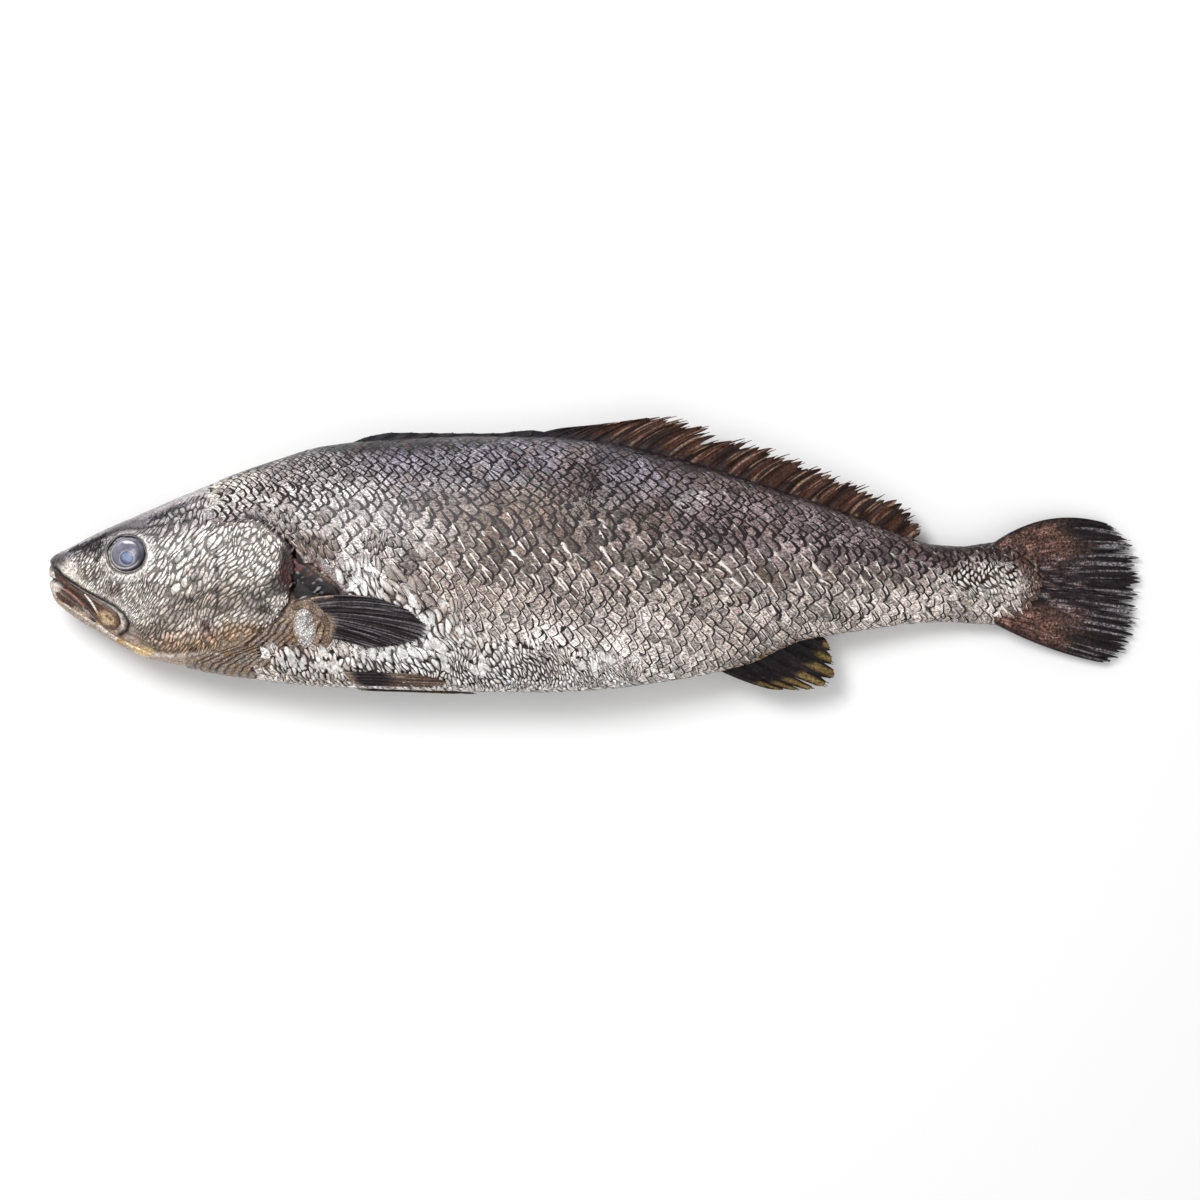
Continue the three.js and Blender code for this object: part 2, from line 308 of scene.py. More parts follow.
def linear(red, green, blue):
    """A colour as Blender holds it, from display values of 0 to 255."""
    shares = [v / 255 for v in (red, green, blue)]
    return tuple(s / 12.92 if s <= 0.04045 else ((s + 0.055) / 1.055) ** 2.4 for s in shares)


TONES = {
    "back": ("Back", "Blue grey of the upper back", (140, 136, 148)),
    "ridge": ("Back ridge", "Dark skin along the top of the back", (40, 36, 44)),
    "shoulder": ("Shoulder", "Silver of the shoulder and nape", (172, 166, 165)),
    "middle": ("Middle", "Brown grey of the middle of the side", (118, 105, 99)),
    "flank": ("Flank", "Silver of the lower side", (174, 161, 154)),
    "belly": ("Belly", "Pale silver of the belly", (230, 222, 217)),
    "rear": ("Rear back", "Purple grey of the upper rear", (132, 118, 120)),
    "stalk": ("Tail stalk", "Dark top of the tail stalk", (74, 60, 60)),
    "scuffed": ("Scuffed", "Brown patches where the slime is rubbed off", (104, 80, 66)),
    "pale": ("Pale", "Whitened scales", (242, 239, 236)),
    "rim": ("Scale rim", "Cream free edge of a scale", (232, 223, 215)),
    # gap is painted shade: the dark laid into the gaps between scales and plates, and into folds, grooves and
    # openings.
    "gap": ("Gap", "Dark skin between scales and in folds", (30, 21, 22)),
    "cheek": ("Cheek", "Cream silver of the cheek", (241, 231, 221)),
    "snout": ("Snout", "Grey of the snout and the top of the head", (196, 188, 189)),
    "jaw": ("Jaw", "Brown of the jaws and throat", (186, 163, 144)),
    "maxilla": ("Upper jaw", "Dark brown of the upper jaw bone", (84, 61, 49)),
    "plate": ("Jaw plate", "Tan of the jaw bone's round end", (206, 178, 144)),
    "pink": ("Lip", "Pink inside of the lip", (168, 118, 106)),
    "gold": ("Gold", "Golden skin at the corners of the jaws", (180, 132, 62)),
    "yellow": ("Chin", "Yellow cream under the chin", (234, 204, 150)),
    # membrane is the lining's own dark. It is also laid as painted shade into the groove under the gill cover's edge,
    # the hollow behind it and the head skin tucked in behind it.
    "membrane": ("Gill membrane", "Blue black lining behind the gill cover", (20, 16, 21)),
    "gill": ("Gill red", "Dark red of the gill opening", (84, 40, 36)),
    "fin": ("Fin web", "Brown web of the dorsal fin", (61, 36, 26)),
    "ray": ("Fin ray", "Tan of the dorsal rays", (186, 152, 126)),
    "tail": ("Tail", "Black of the tail's outer part", (34, 27, 32)),
    "tail_root": ("Tail root", "Red brown of the tail's root", (108, 80, 70)),
    "paired": ("Breast fin", "Grey black of the breast fins", (34, 28, 32)),
    # streak also paints highlights: the glints on the linings' folds, the tail's rays and wet specks in the gill
    # hollow.
    "streak": ("Streak", "Pale streaks of the fin rays", (158, 152, 158)),
    "amber": ("Amber ray", "Golden brown rays of the anal fin", (114, 93, 50)),
    "lens": ("Lens", "Clouded blue lens of the eye", (116, 132, 160)),
    "iris": ("Iris", "Grey violet iris", (112, 110, 124)),
    # iris_pale also paints a highlight on the top of the eyeball.
    "iris_pale": ("Pale iris", "Pale ring round the lens and light top of the iris", (160, 158, 172)),
    "iris_dark": ("Dark iris", "Navy shade low in the eye", (50, 50, 72)),
    "pupil_rim": ("Eye rim", "Dark rim round the eye", (22, 18, 24)),
}


def tone_property(label, description, colour):
    return FloatVectorProperty(
        name=label, description=description, default=linear(*colour), subtype="COLOR", min=0, max=1,
    )


class CroakerTones(bpy.types.PropertyGroup):
    """Colours of the fish."""

    __annotations__ = {key: tone_property(*facts) for key, facts in TONES.items()}


class CroakerSizes(bpy.types.PropertyGroup):
    """Sizes of what covers the fish."""

    scale_pitch: FloatProperty(
        name="Scale pitch", description="Factor on the spacing of the scales along the side",
        default=1.0, min=0.7, max=2, subtype="FACTOR",
    )
    scale_lift: FloatProperty(
        name="Scale lift", description="How far a scale's free edge stands off the skin",
        default=0.35 * MM, min=0, max=2 * MM, unit="LENGTH",
    )
    cell_gap: FloatProperty(
        name="Plate gap", description="Width of the grooves between the cheek's plates and between the shards",
        default=0.4 * MM, min=0.1 * MM, max=1 * MM, unit="LENGTH",
    )
    seed: IntProperty(
        name="Seed", description="Picks another fish of the same kind", default=7, min=1, max=999,
    )


class CroakerStage(bpy.types.PropertyGroup):
    """Floor, lights and camera."""

    floor_size: FloatProperty(
        name="Floor size", description="Side of the square floor", default=6, min=1, unit="LENGTH",
    )
    key_power: FloatProperty(
        name="Key power", description="Power of the large soft light", default=16, min=0, unit="POWER",
    )
    fill_power: FloatProperty(
        name="Fill power", description="Power of the light opposite the key", default=5, min=0, unit="POWER",
    )
    surround: FloatProperty(
        name="Surround", description="Brightness of the even light from all round", default=0.42, min=0,
    )
    camera_height: FloatProperty(
        name="Camera height", description="Height of the camera over the middle of the fish",
        default=1.835, min=0.5, unit="LENGTH",
    )
    camera_across: FloatProperty(
        name="Camera across", description="Place of the camera along the fish",
        default=2.75 * MM, unit="LENGTH",
    )
    camera_up: FloatProperty(
        name="Camera up", description="Place of the camera across the fish",
        default=-23.94 * MM, unit="LENGTH",
    )


def tone(key):
    return np.array(getattr(bpy.context.scene.croaker_tones, key))


def sizes():
    return bpy.context.scene.croaker_sizes


# ---- Colours of the skin by place ----

# Tones from belly, 0, to back, 1, on the front and the rear of the trunk and on the head.
FRONT_RAMP = [
    (0.14, "belly"), (0.34, "flank"), (0.52, "middle"), (0.72, "middle"), (0.86, "back"), (0.91, "back"),
    (0.98, "ridge"),
]
REAR_RAMP = [(0.3, "flank"), (0.5, "middle"), (0.66, "rear"), (0.86, "rear"), (0.97, "stalk"), (1, "ridge")]
# On the head, the snout and shoulder tones at the very top paint a highlight along the head's top edge.
HEAD_RAMP = [
    (0.1, "jaw"), (0.27, "cheek"), (0.72, "cheek"), (0.83, "snout"), (0.9, "snout"), (0.945, "back"),
    (0.97, "snout"), (1, "shoulder"),
]
# Soft patches of colour on the side: tone, strength, station, level, and how far they reach each way.
BODY_PATCHES = [
    ("shoulder", 0.9, 150, 36, 50, 22), ("shoulder", 0.75, 185, 16, 40, 22), ("shoulder", 0.5, 235, 40, 40, 16),
    ("back", 0.55, 255, 52, 60, 14), ("middle", 0.5, 275, 20, 55, 20), ("scuffed", 0.5, 292, 46, 16, 14),
    ("scuffed", 0.45, 262, 28, 22, 12), ("scuffed", 0.4, 215, 28, 18, 10), ("scuffed", 0.35, 345, -4, 22, 8),
    ("scuffed", 0.4, 150, 2, 14, 8), ("scuffed", 0.4, 385, 14, 14, 8), ("scuffed", 0.3, 330, 20, 14, 10),
    ("pale", 0.75, 172, -14, 14, 14), ("pale", 0.9, 205, -42, 14, 12), ("pale", 0.6, 190, -54, 22, 7),
    ("jaw", 0.55, 144, -62, 28, 14), ("pale", 0.45, 142, -60, 12, 5), ("pale", 0.5, 296, -60, 14, 8),
    ("pale", 0.35, 235, -56, 40, 10),
    ("gold", 0.7, 380, -62, 10, 4), ("gold", 0.7, 396, -56, 10, 4), ("gold", 0.6, 412, -50, 10, 4),
    ("cheek", 0.6, 98, 34, 40, 14), ("pale", 0.3, 160, 34, 22, 10), ("pale", 0.25, 350, 30, 10, 7),
    ("rim", 0.6, 519, -15, 34, 14), ("rim", 0.3, 440, -28, 85, 12), ("pale", 0.2, 172, -8, 18, 16),
    ("belly", 0.5, 300, -62, 90, 10),
]
# The upper end of the slit behind the gill cover.
SLIT_TOP = [(112, 21.8), (117.5, 20.4), (124, 15.5), (130, 10), (136, 4)]
HEAD_PATCHES = [
    ("ridge", 0.6, 4, -3, 8, 5), ("snout", 0.3, 88, 6, 34, 22),
    # These gap-toned patches paint the shade in and beside the gill opening.
    ("gap", 0.95, 134, -2, 6, 13), ("gap", 0.85, 129, -15, 8, 6), ("gill", 0.8, 134, -8, 5, 9),
    ("gap", 0.7, 121, -30, 6, 4),
    ("scuffed", 0.75, 38.8, -17.9, 5, 4), ("scuffed", 0.35, 24, -10, 9, 5), ("scuffed", 0.3, 62, -22, 18, 8),
    ("scuffed", 0.6, 98, -24, 22, 10), ("scuffed", 0.5, 72, -34, 16, 9), ("scuffed", 0.45, 56, -42, 16, 8),
    ("gap", 0.55, 77, -23.5, 6, 3.5), ("gap", 0.4, 118, -27, 8, 5), ("gap", 0.35, 84, -14, 5, 6),
    ("gap", 0.3, 112, -20, 10, 5), ("gap", 0.3, 121, -16, 6, 10), ("jaw", 0.85, 88, -54, 34, 8),
    ("jaw", 0.8, 112, -44, 14, 10), ("jaw", 0.8, 10, -23, 12, 6), ("yellow", 0.95, 51, -53, 9, 3.6),
    ("gold", 0.3, 78, -48, 24, 6), ("gold", 0.35, 108, -42, 16, 7), ("gill", 0.7, 88.4, -37.7, 3, 4),
    ("pink", 0.35, 92, -42, 5, 4), ("pale", 0.55, 44, -13, 12, 3.4), ("pale", 0.5, 60, 4, 9, 9),
    ("pale", 0.45, 76, 2, 9, 12), ("pale", 0.35, 98, 8, 16, 10), ("pale", 0.3, 116, -4, 12, 10),
    ("snout", 0.8, 100, 30, 34, 12), ("pale", 0.4, 58, -24, 12, 4), ("pale", 0.3, 74, 22, 6, 4),
    ("snout", 0.5, 58, 12, 8, 4),
]


def blend(first, second, factor):
    """The first colour where the factor is 0, the second where it is 1. A string stands for its tone."""
    first, second = (tone(colour) if isinstance(colour, str) else colour for colour in (first, second))
    return first + (second - first) * np.asarray(factor)[..., None]


def ramp_of(stops, at):
    """Colours read from a ramp of shares and tones."""
    shares, keys = zip(*stops)
    return read_rows(at, shares, np.array([tone(key) for key in keys]))


def bell(distance, width):
    """1 at no distance, falling softly to 0."""
    return np.exp(-((distance / width) ** 2))


def patched(colour, patches, station, level, ragged):
    """Colours with soft patches laid over them, whose edges are broken up by ragged, noise from -1 to 1."""
    for key, strength, at_station, at_level, along, up in patches:
        far = np.hypot((station - at_station) / along, (level - at_level) / up)
        colour = blend(colour, key, strength * (1 - smooth(far + 0.35 * ragged, 0.45, 1.25)))
    return colour


def body_tone(points):
    """The skin's colour on the trunk, at points of station, level and height."""
    station, level = points[..., 0], points[..., 1]
    share = depth_share(station, level)
    ragged = cloud(points, 17, 3) * 0.6 + cloud(points, 6, 4) * 0.4
    wavy = share + 0.05 * ragged
    colour = blend(ramp_of(FRONT_RAMP, wavy), ramp_of(REAR_RAMP, wavy), smooth(station, 290, 380))
    colour = blend(colour, "stalk", smooth(station, 430, 500) * smooth(wavy, 0.55, 0.8))
    colour = patched(colour, BODY_PATCHES, station, level, ragged)
    # Painted shade in the slit behind the gill cover.
    colour = blend(colour, "gap", 0.95 * bell(distance_to(SLIT_TOP, station, level), 1.5))
    end = smooth(station + 7 * ragged + 0.03 * (level + 15) ** 2, 530, 541)
    return blend(colour, "tail_root", end)


def head_tone(points):
    """The skin's colour on the head, at points of station, level and height."""
    station, level = points[..., 0], points[..., 1]
    share = depth_share(station, level)
    ragged = cloud(points, 11, 5) * 0.6 + cloud(points, 4, 6) * 0.4
    return patched(ramp_of(HEAD_RAMP, share + 0.04 * ragged), HEAD_PATCHES, station, level, ragged)


# ---- Materials ----

BUMP_STRENGTH = 0.6


def add_node(tree, kind, inputs=None, **settings):
    """A shader node with its settings, its inputs set to values or linked from other nodes' outputs."""
    made = tree.nodes.new("ShaderNode" + kind)
    for key, value in settings.items():
        setattr(made, key, value)
    for key, value in (inputs or {}).items():
        if isinstance(value, bpy.types.NodeSocket):
            tree.links.new(value, made.inputs[key])
        else:
            made.inputs[key].default_value = value
    return made


def math_node(tree, operation, *values):
    made = add_node(tree, "Math", dict(enumerate(values)), operation=operation)
    return made.outputs[0]


def product(tree, first, *others):
    """The product of several values or outputs."""
    for other in others:
        first = math_node(tree, "MULTIPLY", first, other)
    return first


def scaled(tree, vector, factor):
    made = add_node(tree, "VectorMath", {0: vector, "Scale": factor}, operation="SCALE")
    return made.outputs[0]


def rise_node(tree, value, low, high, to_low=0.0, to_high=1.0):
    """An even rise from to_low to to_high as value goes from low to high."""
    inputs = {"Value": value, "From Min": low, "From Max": high, "To Min": to_low, "To Max": to_high}
    made = add_node(tree, "MapRange", inputs, interpolation_type="SMOOTHSTEP")
    return made.outputs[0]


def mix_node(tree, factor, first, second):
    made = add_node(tree, "Mix", {0: factor, 6: first, 7: second}, data_type="RGBA")
    return made.outputs[2]


def new_group(name, inputs, outputs):
    """An empty node group with its sockets, and its input and output nodes."""
    group = bpy.data.node_groups.new(name, "ShaderNodeTree")
    for label, kind, default in inputs:
        socket = group.interface.new_socket(label, in_out="INPUT", socket_type=kind)
        socket.default_value = default
    for label, kind in outputs:
        group.interface.new_socket(label, in_out="OUTPUT", socket_type=kind)
    return group, group.nodes.new("NodeGroupInput"), group.nodes.new("NodeGroupOutput")


def grain_group():
    """Fine grain, cracks, flecks and broad cloudiness, the same on every wet surface of the fish."""
    group = bpy.data.node_groups.get("croaker grain")
    if group:
        return group
    group, given, result = new_group(
        "croaker grain",
        [
            ("Tone", "NodeSocketColor", (0.8, 0.8, 0.8, 1)), ("Grain scale", "NodeSocketFloat", 900.0),
            ("Contrast", "NodeSocketFloat", 0.35), ("Flecks", "NodeSocketFloat", 0.5),
            ("Crack scale", "NodeSocketFloat", 600.0), ("Cracks", "NodeSocketFloat", 0.5),
        ],
        [("Colour", "NodeSocketColor"), ("Roughness", "NodeSocketFloat"), ("Height", "NodeSocketFloat")],
    )
    place = add_node(group, "TexCoord").outputs["Object"]
    scale = given.outputs["Grain scale"]
    noise = {"Vector": place, "Scale": scale, "Detail": 5.0, "Roughness": 0.75}
    fine = add_node(group, "TexNoise", noise).outputs[0]
    broad_scale = product(group, scale, 0.12)
    broad = add_node(group, "TexNoise", {**noise, "Scale": broad_scale, "Detail": 4.0})
    contrast = given.outputs["Contrast"]
    dark = math_node(group, "SUBTRACT", 1.0, contrast)
    light = math_node(group, "MULTIPLY_ADD", contrast, 1.15, 1.0)
    gain = rise_node(group, fine, 0.4, 0.6, dark, light)
    gain = product(group, gain, rise_node(group, broad.outputs[0], 0.3, 0.7, 0.86, 1.14))
    lit = scaled(group, given.outputs["Tone"], gain)
    fleck_scale = product(group, scale, 0.5)
    flecks = add_node(group, "TexVoronoi", {"Vector": place, "Scale": fleck_scale}).outputs["Distance"]
    spots = rise_node(group, flecks, 0.36, 0.12)
    patchy = rise_node(group, broad.outputs[0], 0.42, 0.6)
    amount = product(group, spots, patchy, given.outputs["Flecks"])
    flecked = mix_node(group, amount, lit, (*linear(80, 58, 44), 1))
    bend = scaled(group, broad.outputs["Color"], 0.005)
    bent = add_node(group, "VectorMath", {0: place, 1: bend}, operation="ADD")
    cells = add_node(
        group, "TexVoronoi", {"Vector": bent.outputs[0], "Scale": given.outputs["Crack scale"]},
        feature="DISTANCE_TO_EDGE",
    ).outputs["Distance"]
    crack = rise_node(group, cells, 0.2, 0.09)
    uneven = rise_node(group, fine, 0.4, 0.54, 0.55, 1.0)
    crack = product(group, crack, uneven, given.outputs["Cracks"])
    colour = mix_node(group, crack, flecked, (*linear(26, 19, 19), 1))
    group.links.new(colour, result.inputs["Colour"])
    group.links.new(rise_node(group, broad.outputs[0], 0.3, 0.7, 0.3, 0.5), result.inputs["Roughness"])
    height = math_node(group, "SUBTRACT", fine, product(group, crack, 1.2))
    group.links.new(height, result.inputs["Height"])
    return group


def add_grain(tree, *values):
    """The shared grain in a material, fed with the piece's own tone."""
    grain = add_node(tree, "Group", node_tree=grain_group())
    for key, value in zip(("Grain scale", "Contrast", "Flecks", "Crack scale", "Cracks"), values):
        grain.inputs[key].default_value = value
    tree.links.new(attribute(tree, "tone").outputs["Color"], grain.inputs["Tone"])
    return grain


def attribute(tree, name):
    return add_node(tree, "Attribute", attribute_name=name)


def sheen(metallic, coat, specular=0.3, coat_roughness=0.2):
    """The shader's constants that make a surface look wet."""
    return {
        "Metallic": metallic, "Coat Weight": coat, "Coat Roughness": coat_roughness, "Specular IOR Level": specular,
    }


def finish_material(tree, colour, roughness, height, distance, **constants):
    """The shader of a wet surface: linked colour, roughness and relief, and constants on its own sockets."""
    bump = add_node(tree, "Bump", {"Strength": BUMP_STRENGTH, "Distance": distance * MM, "Height": height})
    inputs = {"Base Color": colour, "Roughness": roughness, "Normal": bump.outputs[0], **constants}
    end_material(tree, inputs)


def end_material(tree, inputs):
    """The shader and the material's output."""
    shader = add_node(tree, "BsdfPrincipled", inputs)
    add_node(tree, "OutputMaterial", {"Surface": shader.outputs[0]})


def blank_material(name):
    material = bpy.data.materials.new(name)
    material.use_nodes = True
    material.node_tree.nodes.clear()
    return material, material.node_tree


# Finishes of skin: the grain's scale and contrast, flecks, the cracks' scale and strength, the relief's depth, and
# its sheen: how metallic, its coat, its specular level and its coat's roughness.
FINISHES = {
    "head skin": (720.0, 0.45, 0.5, 700.0, 0.2, 0.25, (0.08, 0.08)),
    "trunk skin": (800.0, 0.4, 0.5, 600.0, 0.6, 0.25, (0.08, 0.08)),
    "shard": (560.0, 0.25, 0.4, 500.0, 0.15, 0.25, (0.08, 0.08)),
    "eye": (600.0, 0.12, 0.0, 600.0, 0.0, 0.05, (0.0, 0.3, 0.2, 0.12)),
    "jaw": (900.0, 0.45, 0.8, 600.0, 0.3, 0.25, (0.08, 0.08)),
    "membrane": (500.0, 0.3, 0.2, 600.0, 0.0, 0.25, (0.0, 0.1)),
    "flesh": (900.0, 0.45, 0.8, 800.0, 0.7, 0.25, (0.08, 0.08)),
    "fin": (750.0, 0.5, 0.3, 600.0, 0.0, 0.2, (0.0, 0.0, 0.15)),
    "tail": (620.0, 0.85, 0.5, 620.0, 0.6, 0.25, (0.0, 0.0, 0.2)),
}


def skin_material(finish):
    """Wet skin in the piece's own tones, with the shared grain."""
    name = "croaker " + finish
    material = bpy.data.materials.get(name)
    if material:
        return material
    material, tree = blank_material(name)
    *grain_values, distance, shine = FINISHES[finish]
    grain = add_grain(tree, *grain_values)
    linked = (grain.outputs[key] for key in ("Colour", "Roughness", "Height"))
    finish_material(tree, *linked, distance, **sheen(*shine))
    return material


def scale_material():
    """A scale: its own tone with fine streaks, a cream facet on its free edge that is partly a painted highlight,
    painted shadow as a dark line along that edge, and painted shade on its covered root.
    """
    material = bpy.data.materials.get("croaker scale")
    if material:
        return material
    material, tree = blank_material("croaker scale")
    place = add_node(tree, "TexCoord")
    solid, flat = place.outputs["Object"], place.outputs["UV"]
    along, across, _ = add_node(tree, "SeparateXYZ", {0: flat}).outputs
    waver = add_node(tree, "TexNoise", {"Vector": solid, "Scale": 480.0, "Detail": 2.0}).outputs[0]
    sway = math_node(tree, "SUBTRACT", waver, 0.5)
    offset = math_node(tree, "MULTIPLY_ADD", across, 2.0, -1.4)
    square = product(tree, offset, offset)
    rubbed_rim_light = attribute(tree, "rubbed_rim_light").outputs["Fac"]
    edge_shadow = attribute(tree, "edge_shadow").outputs["Fac"]
    # bare: the scale's covered root, painted in the gap tone as the shade under the scales that lie over it.
    bare = rise_node(tree, along, 0.36, 0.22)
    narrow = math_node(tree, "MULTIPLY_ADD", square, -0.12, 0.14)
    width = product(tree, narrow, math_node(tree, "MULTIPLY_ADD", sway, 2.5, rubbed_rim_light))
    inner = math_node(tree, "SUBTRACT", 0.95, width)
    # The cream facet along the free edge is partly the pale edge of rubbed scales and partly a painted highlight on
    # the upturned edge.
    lit_facet = rise_node(tree, math_node(tree, "SUBTRACT", along, inner), -0.03, 0.01)
    lit_facet = product(tree, lit_facet, rise_node(tree, rubbed_rim_light, 0.0, 0.6, 0.0, 0.95))
    # The dark line along the free edge is painted shadow under the raised edge; edge_shadow sets how wide and strong
    # it is.
    reach = math_node(tree, "MULTIPLY_ADD", edge_shadow, 0.06, along)
    line = rise_node(tree, math_node(tree, "MULTIPLY_ADD", sway, 0.05, reach), 0.955, 0.985)
    line = product(tree, line, rise_node(tree, edge_shadow, 0.0, 0.8), rise_node(tree, across, 1.0, 0.6, 0.2, 1.0))
    drawn_out = add_node(tree, "VectorMath", {0: flat, 1: (7.0, 13.0, 1.0)}, operation="MULTIPLY").outputs[0]
    shifted = {0: solid, 1: (60.0, 60.0, 60.0), 2: drawn_out}
    lines_place = add_node(tree, "VectorMath", shifted, operation="MULTIPLY_ADD").outputs[0]
    streaks = add_node(tree, "TexNoise", {"Vector": lines_place, "Scale": 1.0, "Detail": 3.0}).outputs[0]
    grain = add_grain(tree, 680.0, 0.55, 0.5, 600.0, 0.2)
    gain = rise_node(tree, streaks, 0.37, 0.61, 0.5, 1.4)
    lit = scaled(tree, grain.outputs["Colour"], gain)
    edged = mix_node(tree, lit_facet, lit, (*linear(*TONES["rim"][2]), 1))
    shaded = mix_node(tree, math_node(tree, "MAXIMUM", line, bare), edged, (*linear(*TONES["gap"][2]), 1))
    height = math_node(tree, "ADD", grain.outputs["Height"], product(tree, streaks, 0.7))
    finish_material(tree, shaded, grain.outputs["Roughness"], height, 0.22, **sheen(0.12, 0.06))
    return material


# ---- Meshes ----

def start(operator, name, **settings):
    """Adds a primitive with nothing else selected."""
    bpy.ops.object.select_all(action="DESELECT")
    operator(**settings)
    piece = bpy.context.active_object
    piece.name = name
    piece.data.name = name
    return piece


def coordinates(mesh):
    points = np.empty(len(mesh.vertices) * 3)
    mesh.vertices.foreach_get("co", points)
    return points.reshape(-1, 3)


def to_metres(points):
    return (points + (SNOUT_X, 0, 0)) * MM


def place_vertices(mesh, points):
    """Moves a mesh's vertices to points in metres."""
    mesh.vertices.foreach_set("co", points.astype(np.float32).ravel())
    mesh.update()


def set_coordinates(mesh, points):
    """Moves a mesh's vertices to points of station, level and height."""
    place_vertices(mesh, to_metres(points))


def paint(mesh, colours):
    """Gives each vertex its tone."""
    layer = mesh.color_attributes.new(name="tone", type="FLOAT_COLOR", domain="POINT")
    full = np.concatenate([colours, np.ones((len(colours), 1))], axis=1)
    layer.data.foreach_set("color", np.clip(full, 0, 1).astype(np.float32).ravel())


def measure(mesh, name, values):
    layer = mesh.attributes.new(name=name, type="FLOAT", domain="POINT")
    layer.data.foreach_set("value", np.asarray(values, np.float32))


def read_measure(mesh, name):
    values = np.empty(len(mesh.vertices))
    mesh.attributes[name].data.foreach_get("value", values)
    return values


def unwrap(mesh, places):
    """Gives each vertex its place on the piece's own UV map."""
    layer = mesh.uv_layers.new(name="UVMap") if not mesh.uv_layers else mesh.uv_layers[0]
    corners = np.empty(len(mesh.loops), int)
    mesh.loops.foreach_get("vertex_index", corners)
    layer.data.foreach_set("uv", np.asarray(places, np.float32)[corners].ravel())


def select_only(piece):
    bpy.ops.object.select_all(action="DESELECT")
    piece.select_set(True)
    bpy.context.view_layer.objects.active = piece


def face_outwards(piece):
    select_only(piece)
    bpy.ops.object.mode_set(mode="EDIT")
    bpy.ops.mesh.select_all(action="SELECT")
    bpy.ops.mesh.normals_make_consistent(inside=False)
    bpy.ops.object.mode_set(mode="OBJECT")


def wall(piece, thickness, offset=-1):
    """Turns a sheet into a closed wall."""
    select_only(piece)
    made = piece.modifiers.new("Wall", "SOLIDIFY")
    made.thickness = thickness * MM
    made.offset = offset
    bpy.ops.object.modifier_apply(modifier=made.name)


def complete(piece, finish, replaces="fish_body", angle=50):
    """Smooths a finished piece, gives it its finish, and ties it to the fish."""
    select_only(piece)
    bpy.ops.object.shade_smooth_by_angle(angle=math.radians(angle))
    piece.data.materials.clear()
    piece.data.materials.append(scale_material() if finish == "scale" else skin_material(finish))
    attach(piece, "root")
    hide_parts(replaces)
    return piece


def add_mesh(name, points, faces):
    """A piece made of faces between points of station, level and height."""
    mesh = bpy.data.meshes.new(name)
    mesh.from_pydata(to_metres(points).tolist(), [], faces)
    piece = bpy.data.objects.new(name, mesh)
    bpy.context.scene.collection.objects.link(piece)
    return piece


def join_copies(name, faces, points, side):
    """One mesh of many copies of a pattern's faces. points holds each copy's vertices."""
    copies, count = points.shape[:2]
    every = [tuple(v + i * count for v in face[::side]) for i in range(copies) for face in faces]
    return add_mesh(name, points.reshape(-1, 3), every)


def tubes(name, paths, sides=5):
    """One mesh of round closed rods. A path holds its points, radii and colours."""
    points, faces, colours = [], [], []
    for path, radii, shades in paths:
        path = np.asarray(path, float)
        along = normalised(np.gradient(path, axis=0))
        up = np.where(np.abs(along[:, 2:]) > 0.9, (1.0, 0, 0), (0, 0, 1.0))
        across = normalised(np.cross(along, up))
        other = np.cross(across, along)
        first = len(points)
        angles = [2 * math.pi * k / sides for k in range(sides)]
        rods = [path + (across * math.cos(a) + other * math.sin(a)) * np.asarray(radii)[:, None] for a in angles]
        points.extend(np.stack(rods, axis=1).reshape(-1, 3))
        colours.extend(np.repeat(np.asarray(shades), sides, axis=0))
        for i in range(len(path) - 1):
            for k in range(sides):
                a, b = first + i * sides + k, first + i * sides + (k + 1) % sides
                faces.append((a, b, b + sides, a + sides))
        faces.append(tuple(first + k for k in reversed(range(sides))))
        last = first + (len(path) - 1) * sides
        faces.append(tuple(last + k for k in range(sides)))
    points = np.array(points)
    points[:, 2] = np.maximum(points[:, 2], REST_GAP)
    piece = add_mesh(name, points, faces)
    paint(piece.data, np.array(colours))
    face_outwards(piece)
    return piece


# ---- Head ----

HEAD_SHARE = 0.86
GAPE = [(-2, -11.5), (4, -13.5), (12, -19), (18, -25), (25, -32.5)]
JAW_TOP = [
    (0.5, -4.6), (3.3, -6.4), (7.2, -10.8), (13.8, -15), (21.2, -19.4), (28, -23), (37.3, -27.8), (42.4, -32),
    (45, -36.9), (43.8, -41), (39.6, -43.8),
]
